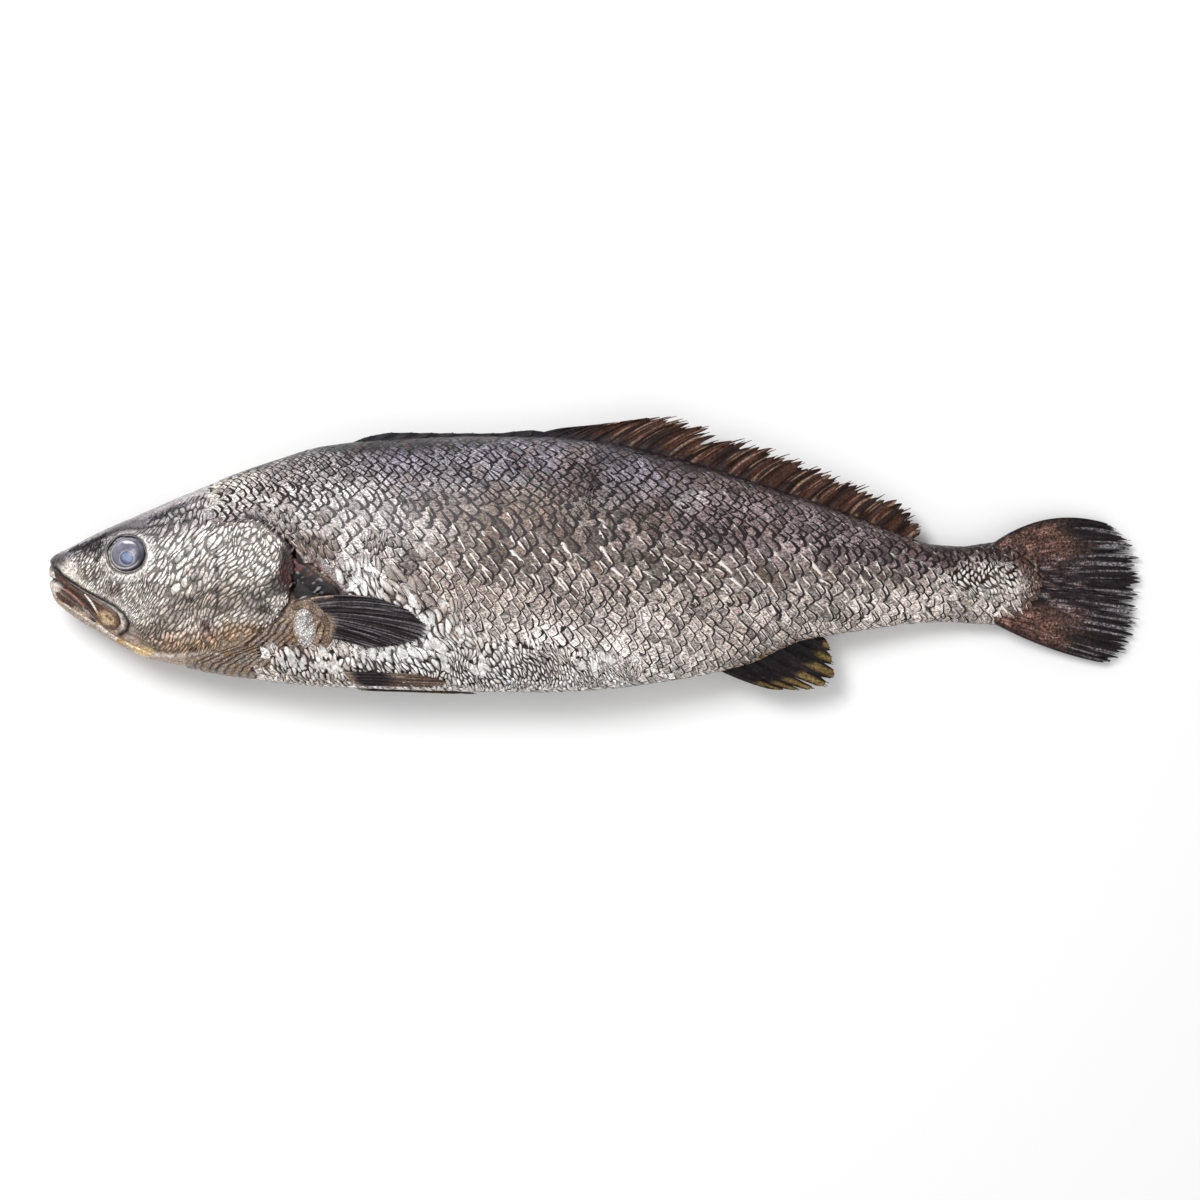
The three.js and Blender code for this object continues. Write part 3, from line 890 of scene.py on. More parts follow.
# Lines on the head: tone, strength, half width, lift and the points that they pass. The lines in the gap tone are
# painted shade, in the grooves that they cut and inside the mouth.
HEAD_MARKS = [
    ("gap", 0.95, 1.0, -2.6, GAPE),
    ("gap", 0.9, 2.0, 0.0, [(8, -18.8), (13, -23), (18.5, -27.5)]),
    ("gap", 1.0, 1.3, -1.2, JAW_TOP),
    ("gap", 1.0, 2.0, -1.6, [(25.2, 4.2), (28, 7)]),
    ("gap", 1.0, 1.3, -1.4, [(27.2, -2), (29.2, 1.6), (32.2, 4.7), (34.8, 7.2)]),
    ("gap", 0.8, 1.1, -0.5, [(19.3, 4.1), (25.3, 9), (32.3, 12.1), (39.6, 14.6), (47.3, 15.4), (54.8, 15.7)]),
    ("ridge", 0.7, 1.8, 0.2, [(1.5, -4), (8, 0.5), (17, 4.5), (24, 8), (32, 11)]),
    ("ridge", 0.5, 3.4, 0.2, [(34, 15), (46, 17.5), (58, 20), (70, 26)]),
    ("gap", 0.8, 0.5, -0.5, [(94.7, 4), (94.9, -14), (95.2, -26), (92, -36.7)]),
    ("gap", 0.6, 0.6, -0.6, [(89.5, -39), (91, -43), (96, -49), (97, -53)]),
    ("gap", 0.4, 0.7, -0.5, [(94, -39), (99, -45), (104, -50)]),
    ("rim", 0.75, 0.7, 0.5, [(57.2, -54), (65, -55), (72.1, -54.8), (88, -52.6), (97, -54)]),
    ("gap", 0.5, 0.8, -0.6, [(52, -48.5), (62, -52.4), (76, -52), (88, -50)]),
    ("gap", 0.5, 0.7, -0.5, [(44, -42), (52, -46.5), (60, -49.5)]),
    ("gap", 0.7, 0.5, -0.6, [(69.6, 22.4), (70.6, 26), (74.8, 27.4), (78.4, 25), (78.6, 20.6), (74.4, 18.4)]),
    ("gap", 0.6, 0.5, -0.5, [(80.5, 26), (82.4, 21.6), (80.6, 17)]),
    ("gap", 0.6, 0.5, -0.5, [(72.6, 24.8), (75.2, 23), (74.8, 21.4), (72.5, 21.6)]),
    ("gap", 0.7, 0.5, -0.6, [(122.8, 27.2), (123.5, 24.5), (121.6, 22.3), (113, 21.8)]),
    ("gap", 0.55, 0.4, -0.4, [(118, 27.5), (118.6, 25), (116.2, 22.8)]),
    ("gap", 1.0, 0.9, -1.0, SLIT_TOP),
    ("gap", 0.6, 0.7, -0.5, [(134.9, -17.9), (128, -21), (120.8, -22.3), (116, -24)]),
    ("rim", 0.5, 0.7, 0.3, [(49, -6), (54, -10), (57.5, -14.5)]),
    ("gap", 0.5, 0.6, -0.4, [(50, -13.5), (55.5, -15), (61, -11.5)]),
    ("gap", 0.45, 0.6, -0.4, [(34, -14), (40, -15.6), (48, -15)]),
]
# Curved folds of the gill membranes: how far in front of the gill cover's edge, and how strong.
GILL_FOLDS = [
    (2.6, 0.8), (6, 0.75), (10.5, 0.5), (-3, 1.0), (-6.5, 1.1), (-11, 1.0), (-15, 0.8), (-19, 1.0), (-23.5, 0.8),
    (-28, 1.0),
]
# Points inside the fish, where the head's and the trunk's skins close behind the gill cover, and the share of
# the trunk's skin that does so.
HEAD_CORE = (96, -8, 32)
TRUNK_CORE = (100, -8, 32)
TRUNK_CAP = 0.05
FOLD_WIDTH = 0.75
# A line on the head that is stronger than this keeps the plates this far off.
STRONG_LINE = 0.55
LINE_ROOM = 0.75


def from_eye(station, level):
    return np.hypot((station - EYE[0]) / 1.08, level - EYE[1])


def head_lift(station, level, points):
    """Relief of the head's skin, without its plates: wrinkles, the eye's socket, the lines and the rim."""
    lift = -0.55 + 0.16 * cloud(points, 3.1, 11) + 0.14 * cloud(points, 1.5, 12)
    away = from_eye(station, level)
    lift += -3.0 * (1 - smooth(away, 8.4, 10.2)) + 0.7 * bell(away - 11.6, 1.1)
    for _, _, width, height, passed in HEAD_MARKS:
        lift += height * bell(distance_to(passed, station, level), width)
    return lift + fold_depth(station, level, points) * -0.9


def head_relief(station, turn):
    """Relief of the head's skin up to the free edge of the gill cover."""
    flat = skin(station, turn)
    share = turn_share(turn)
    edge, free = gill_edge(share), gill_free(share)
    near_edge = smooth(station, edge - 16, edge - 1)
    relief = head_lift(station, flat[..., 1], flat) + near_edge * (free * 0.9 - (1 - free) * 0.9)
    return relief + 1.6 * (1 - smooth(station, 0, 7))


def fold_depth(station, level, points):
    """Depth of the folds of the gill membranes, before and behind the lower part of the gill cover's edge. The same
    depth paints shade into the folds.
    """
    share = depth_share(station, level)
    ahead = gill_edge(share) - station
    waver = 0.9 * np.sin(share * 23) + 0.8 * cloud(points, 9, 13)
    depth = 0
    for back_from, strength in GILL_FOLDS:
        depth = depth + strength * bell(ahead - back_from - waver, FOLD_WIDTH)
    return depth * (1 - smooth(share, 0.24, 0.34))


def with_folds(colour, station, level, points):
    """A colour with painted shade laid over it in the gill membranes' folds."""
    return blend(colour, "gap", np.clip(fold_depth(station, level, points), 0, 0.9))


def head_colour(points):
    """The head's tone with its fine mottling, its lines, the painted shade in its folds, and the rings round the eye.
    The gap-toned lines are painted shade too.
    """
    station, level = points[..., 0], points[..., 1]
    colour = head_tone(points)
    rough = cloud(points, 2.4, 14) * 0.5 + cloud(points, 1.3, 15) * 0.5
    top = smooth(depth_share(station, level), 0.74, 0.88)
    colour = colour * (1 + (0.16 + 0.1 * top) * rough)[..., None]
    for key, strength, width, _, passed in HEAD_MARKS:
        cover = strength * bell(distance_to(passed, station, level), width * 1.3) * np.clip(1.2 + 0.5 * rough, 0, 1)
        colour = blend(colour, key, cover)
    colour = with_folds(colour, station, level, points)
    away = from_eye(station, level)
    colour = blend(colour, "pupil_rim", 0.9 * bell(away - 10.6, 0.6))
    return blend(colour, "pale", 0.3 * bell(away - 12.6, 1.2))


def skin_ball(name, segments, rings):
    """A ball to be drawn out into skin. For its vertices: how far from pole to pole, the turn round the body and
    its share of the depth, and the gill cover's edge there and how free it is."""
    piece = start(bpy.ops.mesh.primitive_uv_sphere_add, name, segments=segments, ring_count=rings)
    unit = coordinates(piece.data)
    t = np.arccos(np.clip(-unit[:, 2], -1, 1)) / math.pi
    turn = np.arctan2(unit[:, 1], unit[:, 0])
    share = turn_share(turn)
    return piece, t, turn, share, gill_edge(share), gill_free(share)


class CROAKER_OT_head(bpy.types.Operator):
    """Adds the head's skin, closed behind the free edge of the gill covers"""

    bl_idname = "croaker.head"
    bl_label = "Head"

    def execute(self, context):
        piece, t, turn, share, edge, free = skin_ball("head_skin", 300, 310)
        outer = np.minimum(t / HEAD_SHARE, 1)
        inner = np.clip((t - HEAD_SHARE) / (1 - HEAD_SHARE), 0, 1)
        station = edge * outer**1.3
        flat = skin(station, turn)
        relief = head_relief(station, turn)
        station = station + 0.6 * np.sin(np.minimum(inner * 9, 1) * math.pi) * free - 3 * smooth(inner, 0.1, 0.5)
        relief -= 4.5 * smooth(inner, 0, 0.25)
        points = lifted(station, turn, relief)
        set_coordinates(piece.data, blend(points, HEAD_CORE, smooth(inner, 0.25, 1)))
        # Where plates cover the head, the skin between them is painted dark: painted shade in the gaps between the
        # plates.
        covered = smooth(plate_room(station, flat[:, 1]), -1, 4)[:, None]
        shade = head_colour(flat) * (0.9 - (0.56 + 0.14 * smooth(flat[:, 1:2], -30, -5)) * covered)
        share = depth_share(station, flat[:, 1])
        # Painted shade along the gill cover's free edge.
        rim = smooth(station - gill_edge(share), -3, -0.8) * gill_free(share)
        shade = blend(shade, "gap", 0.9 * rim)
        # The skin tucked in behind the gill cover's edge is painted in the membrane tone, partly as painted shade
        # behind the edge.
        paint(piece.data, blend(shade, "membrane", smooth(inner, 0.0, 0.06)))
        complete(piece, "head skin")
        return {"FINISHED"}


# Cells: points round one, how many others bound it, the most that it reaches, and that for each millimetre wanted.
CELL_CORNERS = 12
CELL_NEIGHBOURS = 14
CELL_REACH = 12
CELL_WIDEST = 0.8


def cell_places(random, count, layout, box, size):
    """Scattered places in the even pattern, no closer than the size of the cells wanted on the skin there.

    box: the stations and girths from which and to which the cells lie."""
    tall, slope = layout
    (station_low, girth_low), (station_high, girth_high) = box
    lean = [-slope * girth for girth in (girth_low, girth_high)]
    low = (station_low + min(lean), girth_low / tall)
    tries = random.uniform(low, (station_high + max(lean), girth_high / tall), (count, 2))
    station, girth = flowing(tries, layout)
    needed = size(station, skin(station, turn_at(station, girth))[..., 1])
    tries, needed = tries[needed > 0], needed[needed > 0]
    kept, number = np.empty((len(tries), 3)), 0
    for place, need in zip(tries, needed):
        if not number or np.hypot(*(kept[:number, :2] - place).T).min() >= need:
            kept[number] = (*place, need)
            number += 1
    return kept[:number]


def cell_outline(centre, others):
    """The outline round a centre that is nearer to it than to the others."""
    corners = [np.array(c, float) * CELL_REACH for c in ((-1, -1), (1, -1), (1, 1), (-1, 1))]
    for other in others:
        step = other - centre
        limit = step @ step / 2
        clipped = []
        for a, b in zip(corners, corners[1:] + corners[:1]):
            side_a, side_b = a @ step - limit, b @ step - limit
            if side_a <= 0:
                clipped.append(a)
            if side_a * side_b < 0:
                clipped.append(a + (b - a) * side_a / (side_a - side_b))
        corners = clipped
    return np.array(corners)


# Rings of a cell from its foot to its middle: share of its outline, lift, brightness and how much darker it is on its
# shaded side. These paint shade: a dark foot as the shade in the gap, and a darker side on each cell.
CELL_RINGS = [(1.0, -0.15, 0.14, 0.1), (0.88, 0.3, 1.16, 1.0), (0.64, 0.48, 1.16, 0.5), (0.0, 0.52, 1.08, 0.0)]
# How cells are laid out: their height against their width, and how far they lean back per step up.
CHEEK_LAYOUT = (2.1, 0.55)
SHAGGY_LAYOUT = (2.3, -0.42)
SHARD_BASE = 0.35


def flowing(places, layout):
    """Station and girth on the skin of places in the even pattern that long cells are laid out in."""
    tall, slope = layout
    girth = places[..., 1] * tall
    station = places[..., 0] + slope * girth
    flat = flat_points(station, girth)
    sway = 6 * cloud(flat, 24, 45) + 2.6 * cloud(flat, 9, 48) + 0.8 * cloud(flat, 4.5, 46)
    return station + sway, girth + 1.2 * cloud(flat, 4.5, 47)


def rounded(corners):
    """The outline with its corners cut off, as a fixed number of evenly spaced points."""
    loop = np.vstack([corners, corners[:1]])
    length = lengths_along(loop)
    even = read_rows((np.arange(CELL_CORNERS * 2) + 0.5) / (CELL_CORNERS * 2) * length[-1], length, loop)
    return (even[::2] + even[1::2]) / 2


def plate_room(station, level):
    """How far a place lies inside the part of the head that has plates."""
    share = depth_share(station, level)
    edge = gill_edge(share)
    return np.minimum.reduce([
        from_eye(station, level) - 12.8, edge - 0.3 - station, (0.95 - share) * 100, (share - 0.08) * 100,
        station - 13 + 0.45 * level, level - 5 + station * 0.95,
        np.where(level < -20, distance_to(JAW_TOP, station, level) - 2.2, 9),
        np.where(station < 56, 11 + station * 0.05 - level, 9), np.where(share < 0.22, edge - 12 - station, 9),
    ])


def plate_size(station, level):
    """Width of the plates on the side of the head, and 0 where there are none."""
    size = np.interp(station, [20, 44, 60, 70, 90, 98, 140], [1.35, 1.5, 1.95, 2.9, 2.8, 1.85, 1.75])
    size = size * np.interp(level, [-60, -44, -26, -14, 12, 24, 44], [0.78, 0.76, 0.76, 1, 1, 0.85, 0.8])
    room = plate_room(station, level)
    lines = [passed for _, strength, _, _, passed in HEAD_MARKS if strength > STRONG_LINE]
    nearest = np.minimum.reduce([distance_to(passed, station, level) for passed in lines])
    shown = (room > 0) & (nearest > LINE_ROOM)
    return np.where(shown, size * (0.72 + 0.28 * smooth(room, 0, 8)), 0)


def add_cells(name, side, centres, seed, layout, relief, colour, finish, rise=1.0, twisted=0.22, apart=1.0):
    """One mesh of low rounded cells on the relief of the skin, each painted with shade at its foot and on one side,
    with the skin between them, painted dark as shade, showing through.
    """
    random = np.random.default_rng(seed)
    gap = sizes().cell_gap / MM * apart
    outlines, kept = [], []
    centres, wanted = centres[:, :2], centres[:, 2]
    for centre, size in zip(centres, wanted):
        away = np.hypot(*(centres - centre).T)
        nearest = np.argsort(away)[1:CELL_NEIGHBOURS + 1]
        corners = cell_outline(centre, centres[nearest])
        if len(corners) < 3:
            continue
        outline = rounded(corners)
        radius = np.linalg.norm(outline, axis=1, keepdims=True)
        widest = CELL_WIDEST * size / radius
        outlines.append(outline * np.clip(1 - gap * 0.5 / radius, 0.5, np.clip(widest, 0.05, 1)))
        kept.append(centre)
    outlines, kept = np.array(outlines), np.array(kept)
    outlines = np.stack(turned(outlines[..., 0], outlines[..., 1], random.normal(0, twisted, (len(kept), 1))), -1)
    at_station, at_girth = flowing(kept, layout)
    flat = flat_points(at_station, at_girth)
    height = random.uniform(0.7, 1.2, (len(kept), 1))
    bright = np.clip(random.normal(1.0, 0.17, (len(kept), 1)) + 0.25 * cloud(flat, 7, seed + 3)[:, None], 0.5, 1.5)
    # Each cell is painted darker on the side that faces shade_side: painted shade.
    shade_side = -0.6 + 1.6 * cloud(flat, 11, seed + 4)[:, None] + random.normal(0, 0.35, (len(kept), 1))
    shaded = np.cos(np.arctan2(outlines[..., 1], outlines[..., 0]) - shade_side)
    parts, lifts, brights = [], [], []
    for share, lift, shade, darker in CELL_RINGS:
        around = outlines * share if share else np.zeros((len(kept), 1, 2))
        low = smooth(shaded, -0.1, 0.7) if share else np.zeros((len(kept), 1))
        parts.append(kept[:, None] + around)
        lifts.append(lift * (height if lift > 0 else 1.0) + (0.2 * low if 0 < share < 1 else 0 * low))
        brights.append((shade - darker * low) * bright)
    station, girth = flowing(np.concatenate(parts, axis=1), layout)
    lift, bright = np.concatenate(lifts, axis=1), np.concatenate(brights, axis=1)
    n, faces = CELL_CORNERS, []
    for k in range(n):
        after = (k + 1) % n
        faces += [(k, after, n + after, n + k), (n + k, n + after, 2 * n + after, 2 * n + k)]
        faces.append((2 * n + k, 2 * n + after, 3 * n))
    faces.append(tuple(reversed(range(n))))
    turn = turn_at(station, girth)
    both = on_side(turn, side)
    piece = join_copies(name, faces, lifted(station, both, lift * rise + relief(station, both)), side)
    paint(piece.data, colour(skin(station, turn).reshape(-1, 3)) * bright.reshape(-1, 1))
    complete(piece, finish)


class CROAKER_OT_cheeks(bpy.types.Operator):
    """Adds the small scales in the skin of the cheeks and gill covers"""

    bl_idname = "croaker.cheeks"
    bl_label = "Cheek scales"

    def execute(self, context):
        for number, (label, side) in enumerate(SIDES.items()):
            random = np.random.default_rng(sizes().seed + 40 + number)
            centres = cell_places(random, 60000, CHEEK_LAYOUT, ((8, -72), (144, 66)), plate_size)
            add_cells(
                f"cheek_scales_{label}", side, centres, sizes().seed + number, CHEEK_LAYOUT, head_relief, head_colour,
                "head skin",
            )
        return {"FINISHED"}


# ---- Trunk and scales ----

# The dark hollow behind the gill cover, along its middle, and the outline of the bare skin round it.
HOLLOW = [(133, 2), (138, -4), (144, -11), (151, -17), (158, -21)]
BARE = [
    (126, 10), (137, 7), (146, 2), (155, -5), (163, -12), (169, -20), (170, -30), (163, -38), (159, -50),
    (148, -53), (136, -52), (126, -50),
]
# Places where the scales are rubbed and ruffled: station, level, reach along, reach up, how much.
RUFFLED = [
    (206, -40, 34, 22, 1), (150, -60, 44, 11, 1), (296, -60, 18, 9, 0.9), (235, -63, 110, 15, 1),
    (174, -14, 20, 18, 0.8), (122, 22, 26, 14, 0.6), (190, 4, 46, 14, 0.5), (225, 24, 30, 12, 0.35),
    (300, 30, 24, 16, 0.3), (345, -2, 26, 10, 0.3), (519, -13, 34, 13, 0.9),
    (180, -24, 34, 20, 1), (150, 6, 16, 10, 0.8), (250, -52, 50, 10, 0.8),
]


def ruffled(station, level):
    total = 0 * station
    for at_station, at_level, along, up, strength in RUFFLED:
        far = np.hypot((station - at_station) / along, (level - at_level) / up)
        total = np.maximum(total, strength * (1 - smooth(far, 0.4, 1.2)))
    return total


def shaggy(station, level):
    """Above 0 where the scales stand apart as separate shards."""
    flat = flat_points(station, level)
    return ruffled(station, level) + 0.25 * cloud(flat, 9, 50) - 0.5


def shard_size(station, level):
    """Width of the shards in the shaggy places of the trunk, and 0 elsewhere."""
    size = np.interp(level, [-74, -62, -52, -36, -14, 8, 30], [1.6, 1.8, 2.3, 3.2, 2.9, 2.0, 1.8])
    size = size * (1 - 0.3 * smooth(station, 210, 260)) * (1 - 0.35 * smooth(station, 440, 480))
    share = depth_share(station, level)
    behind = station - gill_edge(share)
    flat = flat_points(station, level)
    shown = (shaggy(station, level) > 0) & ~inside_outline(BARE, station, level) & (behind > 3) & (share > 0.02)
    shown &= (in_folds(station, share, 14) < 0.5) & (station < 556 + 9 * cloud(flat, 5, 28))
    return np.where(shown, size, 0)


def shard_tone(points):
    """The whitened colour of the shards."""
    station, level = points[..., 0], points[..., 1]
    white = smooth(shaggy(station, level), 0, 0.4) * lumps(points, 4, 51, -0.5, 0.3)
    white = white * (1 - 0.2 * smooth(station, 400, 460)) * (1 - smooth(level, -6, 10))
    colour = blend(body_tone(points), "pale", 0.5 * white)
    return blend(colour * 1.06, "scuffed", 0.3 * lumps(points, 3, 52, 0.25, 0.7))


def in_folds(station, share, reach=15):
    """1 in the bare folds behind the lower part of the gill cover, and 0 elsewhere."""
    reach = reach + 20 * (1 - smooth(share, 0.06, 0.2))
    return (1 - smooth(share, 0.24, 0.32)) * (1 - smooth(station - gill_edge(share), reach - 5, reach))


def trunk_colour(flat, share, hollow, groove, folds):
    """The tone of the trunk's skin, with its bare folds, painted shade where it lies under the scales, and the hollow
    and the groove behind the gill cover painted dark, partly as shade.
    """
    station, level = flat[:, 0], flat[:, 1]
    ragged = cloud(flat, 5, 17)
    bare = np.maximum(folds, inside_outline(BARE, station, level) * 1.0)
    golden = 0.5 * smooth(ragged, -0.2, 0.6) * smooth(-level, 18, 30)
    skin_tone = blend(tone("jaw") * 0.85, tone("gold") * 0.7, golden)
    skin_tone = blend(skin_tone, "shoulder", 0.5 * lumps(flat, 4, 18, 0.1, 0.6))
    skin_tone = with_folds(skin_tone, station, level, flat)
    # The skin under the scales is painted at about half its tone: painted shade under the scales.
    shaded_under = blend(tone("flank") * 0.5, tone("scuffed") * 0.55, smooth(share, 0.22, 0.4))
    colour = blend(shaded_under, skin_tone, bare)
    red = smooth(level + 5 * ragged, -14, -5) * (1 - smooth(station, 142, 150))
    dark = blend(tone("membrane") * 0.7, tone("gill") * 0.8, red)
    # The axil and the hollow behind the gill cover are painted dark: the lining's dark red and black, deepened as
    # painted shade in the recess.
    axil = 1 - smooth(np.hypot((station - 143) / 9.5, (level + 16) / 9) + 0.25 * ragged, 0.8, 1.1)
    colour = blend(colour, dark, np.clip(np.maximum(1.5 * hollow, axil), 0, 1))
    # Painted shade in the groove under the gill cover's free edge.
    return blend(colour, tone("membrane") * 0.6, 0.95 * groove * smooth(share + 0.02 * ragged, 0.3, 0.42))


class CROAKER_OT_trunk(bpy.types.Operator):
    """Adds the trunk's skin under the scales, from inside the gill covers to the root of the tail"""

    bl_idname = "croaker.trunk"
    bl_label = "Trunk"

    def execute(self, context):
        piece, t, turn, share, edge, free = skin_ball("trunk_skin", 240, 380)
        first = edge - 9
        station = first + (BODY_LENGTH - first) * np.clip((t - TRUNK_CAP) / (1 - TRUNK_CAP), 0, 1) ** 1.25
        behind = station - edge
        flat = skin(station, turn)
        hollow = bell(distance_to(HOLLOW, station, flat[:, 1]), 5.2)
        folds = in_folds(station, share)
        groove = free * (1 - smooth(behind, 0.5, 3.5)) * (1 - folds)
        relief = -0.85 - 2.2 * groove - 2.6 * hollow + 0.75 * folds - 0.9 * fold_depth(station, flat[:, 1], flat)
        relief += 0.3 * folds * cloud(flat, 3, 16)
        points = lifted(station, turn, relief)
        set_coordinates(piece.data, blend(points, TRUNK_CORE, smooth(1 - t / TRUNK_CAP, 0, 1)))
        paint(piece.data, trunk_colour(flat, share, hollow, groove, folds))
        complete(piece, "trunk skin")
        return {"FINISHED"}


SCALE_ROWS = (0, 0.42, 0.7, 0.88, 1)
SCALE_COLUMNS = 7
APEX = -0.45
scale_pitch = profile([
    (60, 3.7), (90, 3.9), (150, 4.3), (200, 5.0), (270, 5.7), (340, 5.7), (420, 5.2), (480, 4.5), (530, 3.7),
    (560, 3.3),
])
# How far the columns of scales lean back, and the slope of that lean, by the distance up from the side line.
column_lean = profile([(-150, 36), (-60, 20), (-20, 10), (20, -10), (110, -52)])
edge_slope = profile([(-80, 0.1), (-40, 0.25), (-10, 0.45), (20, 0.56), (100, 0.55)])
# Bands of scales round a side: name, from girth, to girth, the size of their scales, their height against
# their length, and how deep and how pointed their free edge is.
SCALE_BANDS = [
    ("belly", -150, -18, 0.66, 2.2, 0.32, 1.3), ("side", -20, 20, 0.95, 1.5, 0.22, 1.5),
    ("back", 18, 116, 0.67, 1.6, 0.36, 1.15),
]


def model_scale():
    """One closed scale, modelled flat: x runs from its root, 0, to its free edge, 1, and y across it."""
    piece = start(
        bpy.ops.mesh.primitive_grid_add, "scale_pattern", x_subdivisions=len(SCALE_ROWS) - 1,
        y_subdivisions=SCALE_COLUMNS, size=2,
    )
    bpy.ops.object.mode_set(mode="EDIT")
    bpy.ops.mesh.select_all(action="SELECT")
    bpy.ops.mesh.region_to_loop()
    bpy.ops.mesh.edge_face_add()
    bpy.ops.mesh.select_all(action="SELECT")
    bpy.ops.mesh.normals_make_consistent(inside=False)
    bpy.ops.object.mode_set(mode="OBJECT")
    flat = coordinates(piece.data)
    steps = len(SCALE_ROWS) - 1
    along = np.interp((flat[:, 0] + 1) / 2 * steps, range(steps + 1), SCALE_ROWS)
    faces = [tuple(polygon.vertices) for polygon in piece.data.polygons]
    quad = next(p for p in piece.data.polygons if len(p.vertices) == 4)
    if quad.normal.z < 0:
        faces = [face[::-1] for face in faces]
    bpy.data.objects.remove(piece)
    return along, flat[:, 1], faces


def scale_margin(across, depth, power):
    """How far back a scale's free edge lies at a place across it, as a share of its length."""
    skewed = np.where(across < APEX, (across - APEX) / (1 + APEX), (across - APEX) / (1 - APEX))
    return 1 - depth * np.abs(skewed) ** power


def scale_places(low, high, factor, tall, random):
    """Places of the scales in one band of a side, as station, girth, pitch and row height."""
    places = []
    station, column = 30.0, 0
    while station < 630:
        pitch = float(scale_pitch(station)) * factor * sizes().scale_pitch
        row = pitch * tall
        rows = np.arange(low + 0.5 * (column % 2) * row, high, row)
        places += [(station, girth, pitch, row) for girth in rows]
        station += pitch
        column += 1
    places = np.array(places)
    upright = 1 - 0.6 * smooth(places[:, 0], 400, 500)
    places[:, 0] += column_lean(places[:, 1]) * upright
    flat = np.column_stack([places[:, :2], 0 * places[:, 0]])
    warp = np.stack([3 * cloud(flat, 26, 24) + cloud(flat, 9, 26), 3 * cloud(flat, 26, 25) + cloud(flat, 9, 27)], -1)
    places[:, :2] += warp + places[:, 2:3] * random.normal(0, 0.13, (len(places), 2))
    return places


def allowed(station, girth):
    """Where the body's scales may lie: behind the gill cover and out of the breast fin's root."""
    turn = turn_at(station, girth)
    level = skin(station, turn)[..., 1]
    share = turn_share(turn)
    behind = station - gill_edge(share)
    flat = flat_points(station, girth)
    start_at = np.where(gill_free(share) > 0.3, 3.4, -9 + 9 * cloud(flat, 7, 23))
    kept = (behind > start_at) & (in_folds(station, share, 14) < 0.5)
    end = 563 + 9 * cloud(flat, 5, 28)
    kept &= shaggy(station, level) < 0.35
    return kept & ~inside_outline(BARE, station, level) & (station < end) & (np.abs(turn) < math.pi / 2 + 0.04)


def inside_outline(outline, station, level):
    inside = np.zeros(np.shape(station), bool)
    for (s1, l1), (s2, l2) in zip(outline, outline[1:] + outline[:1]):
        crosses = (l1 > level) != (l2 > level)
        at = s1 + (level - l1) * (s2 - s1) / ((l2 - l1) if l2 != l1 else 1e-9)
        inside ^= crosses & (station < at)
    return inside


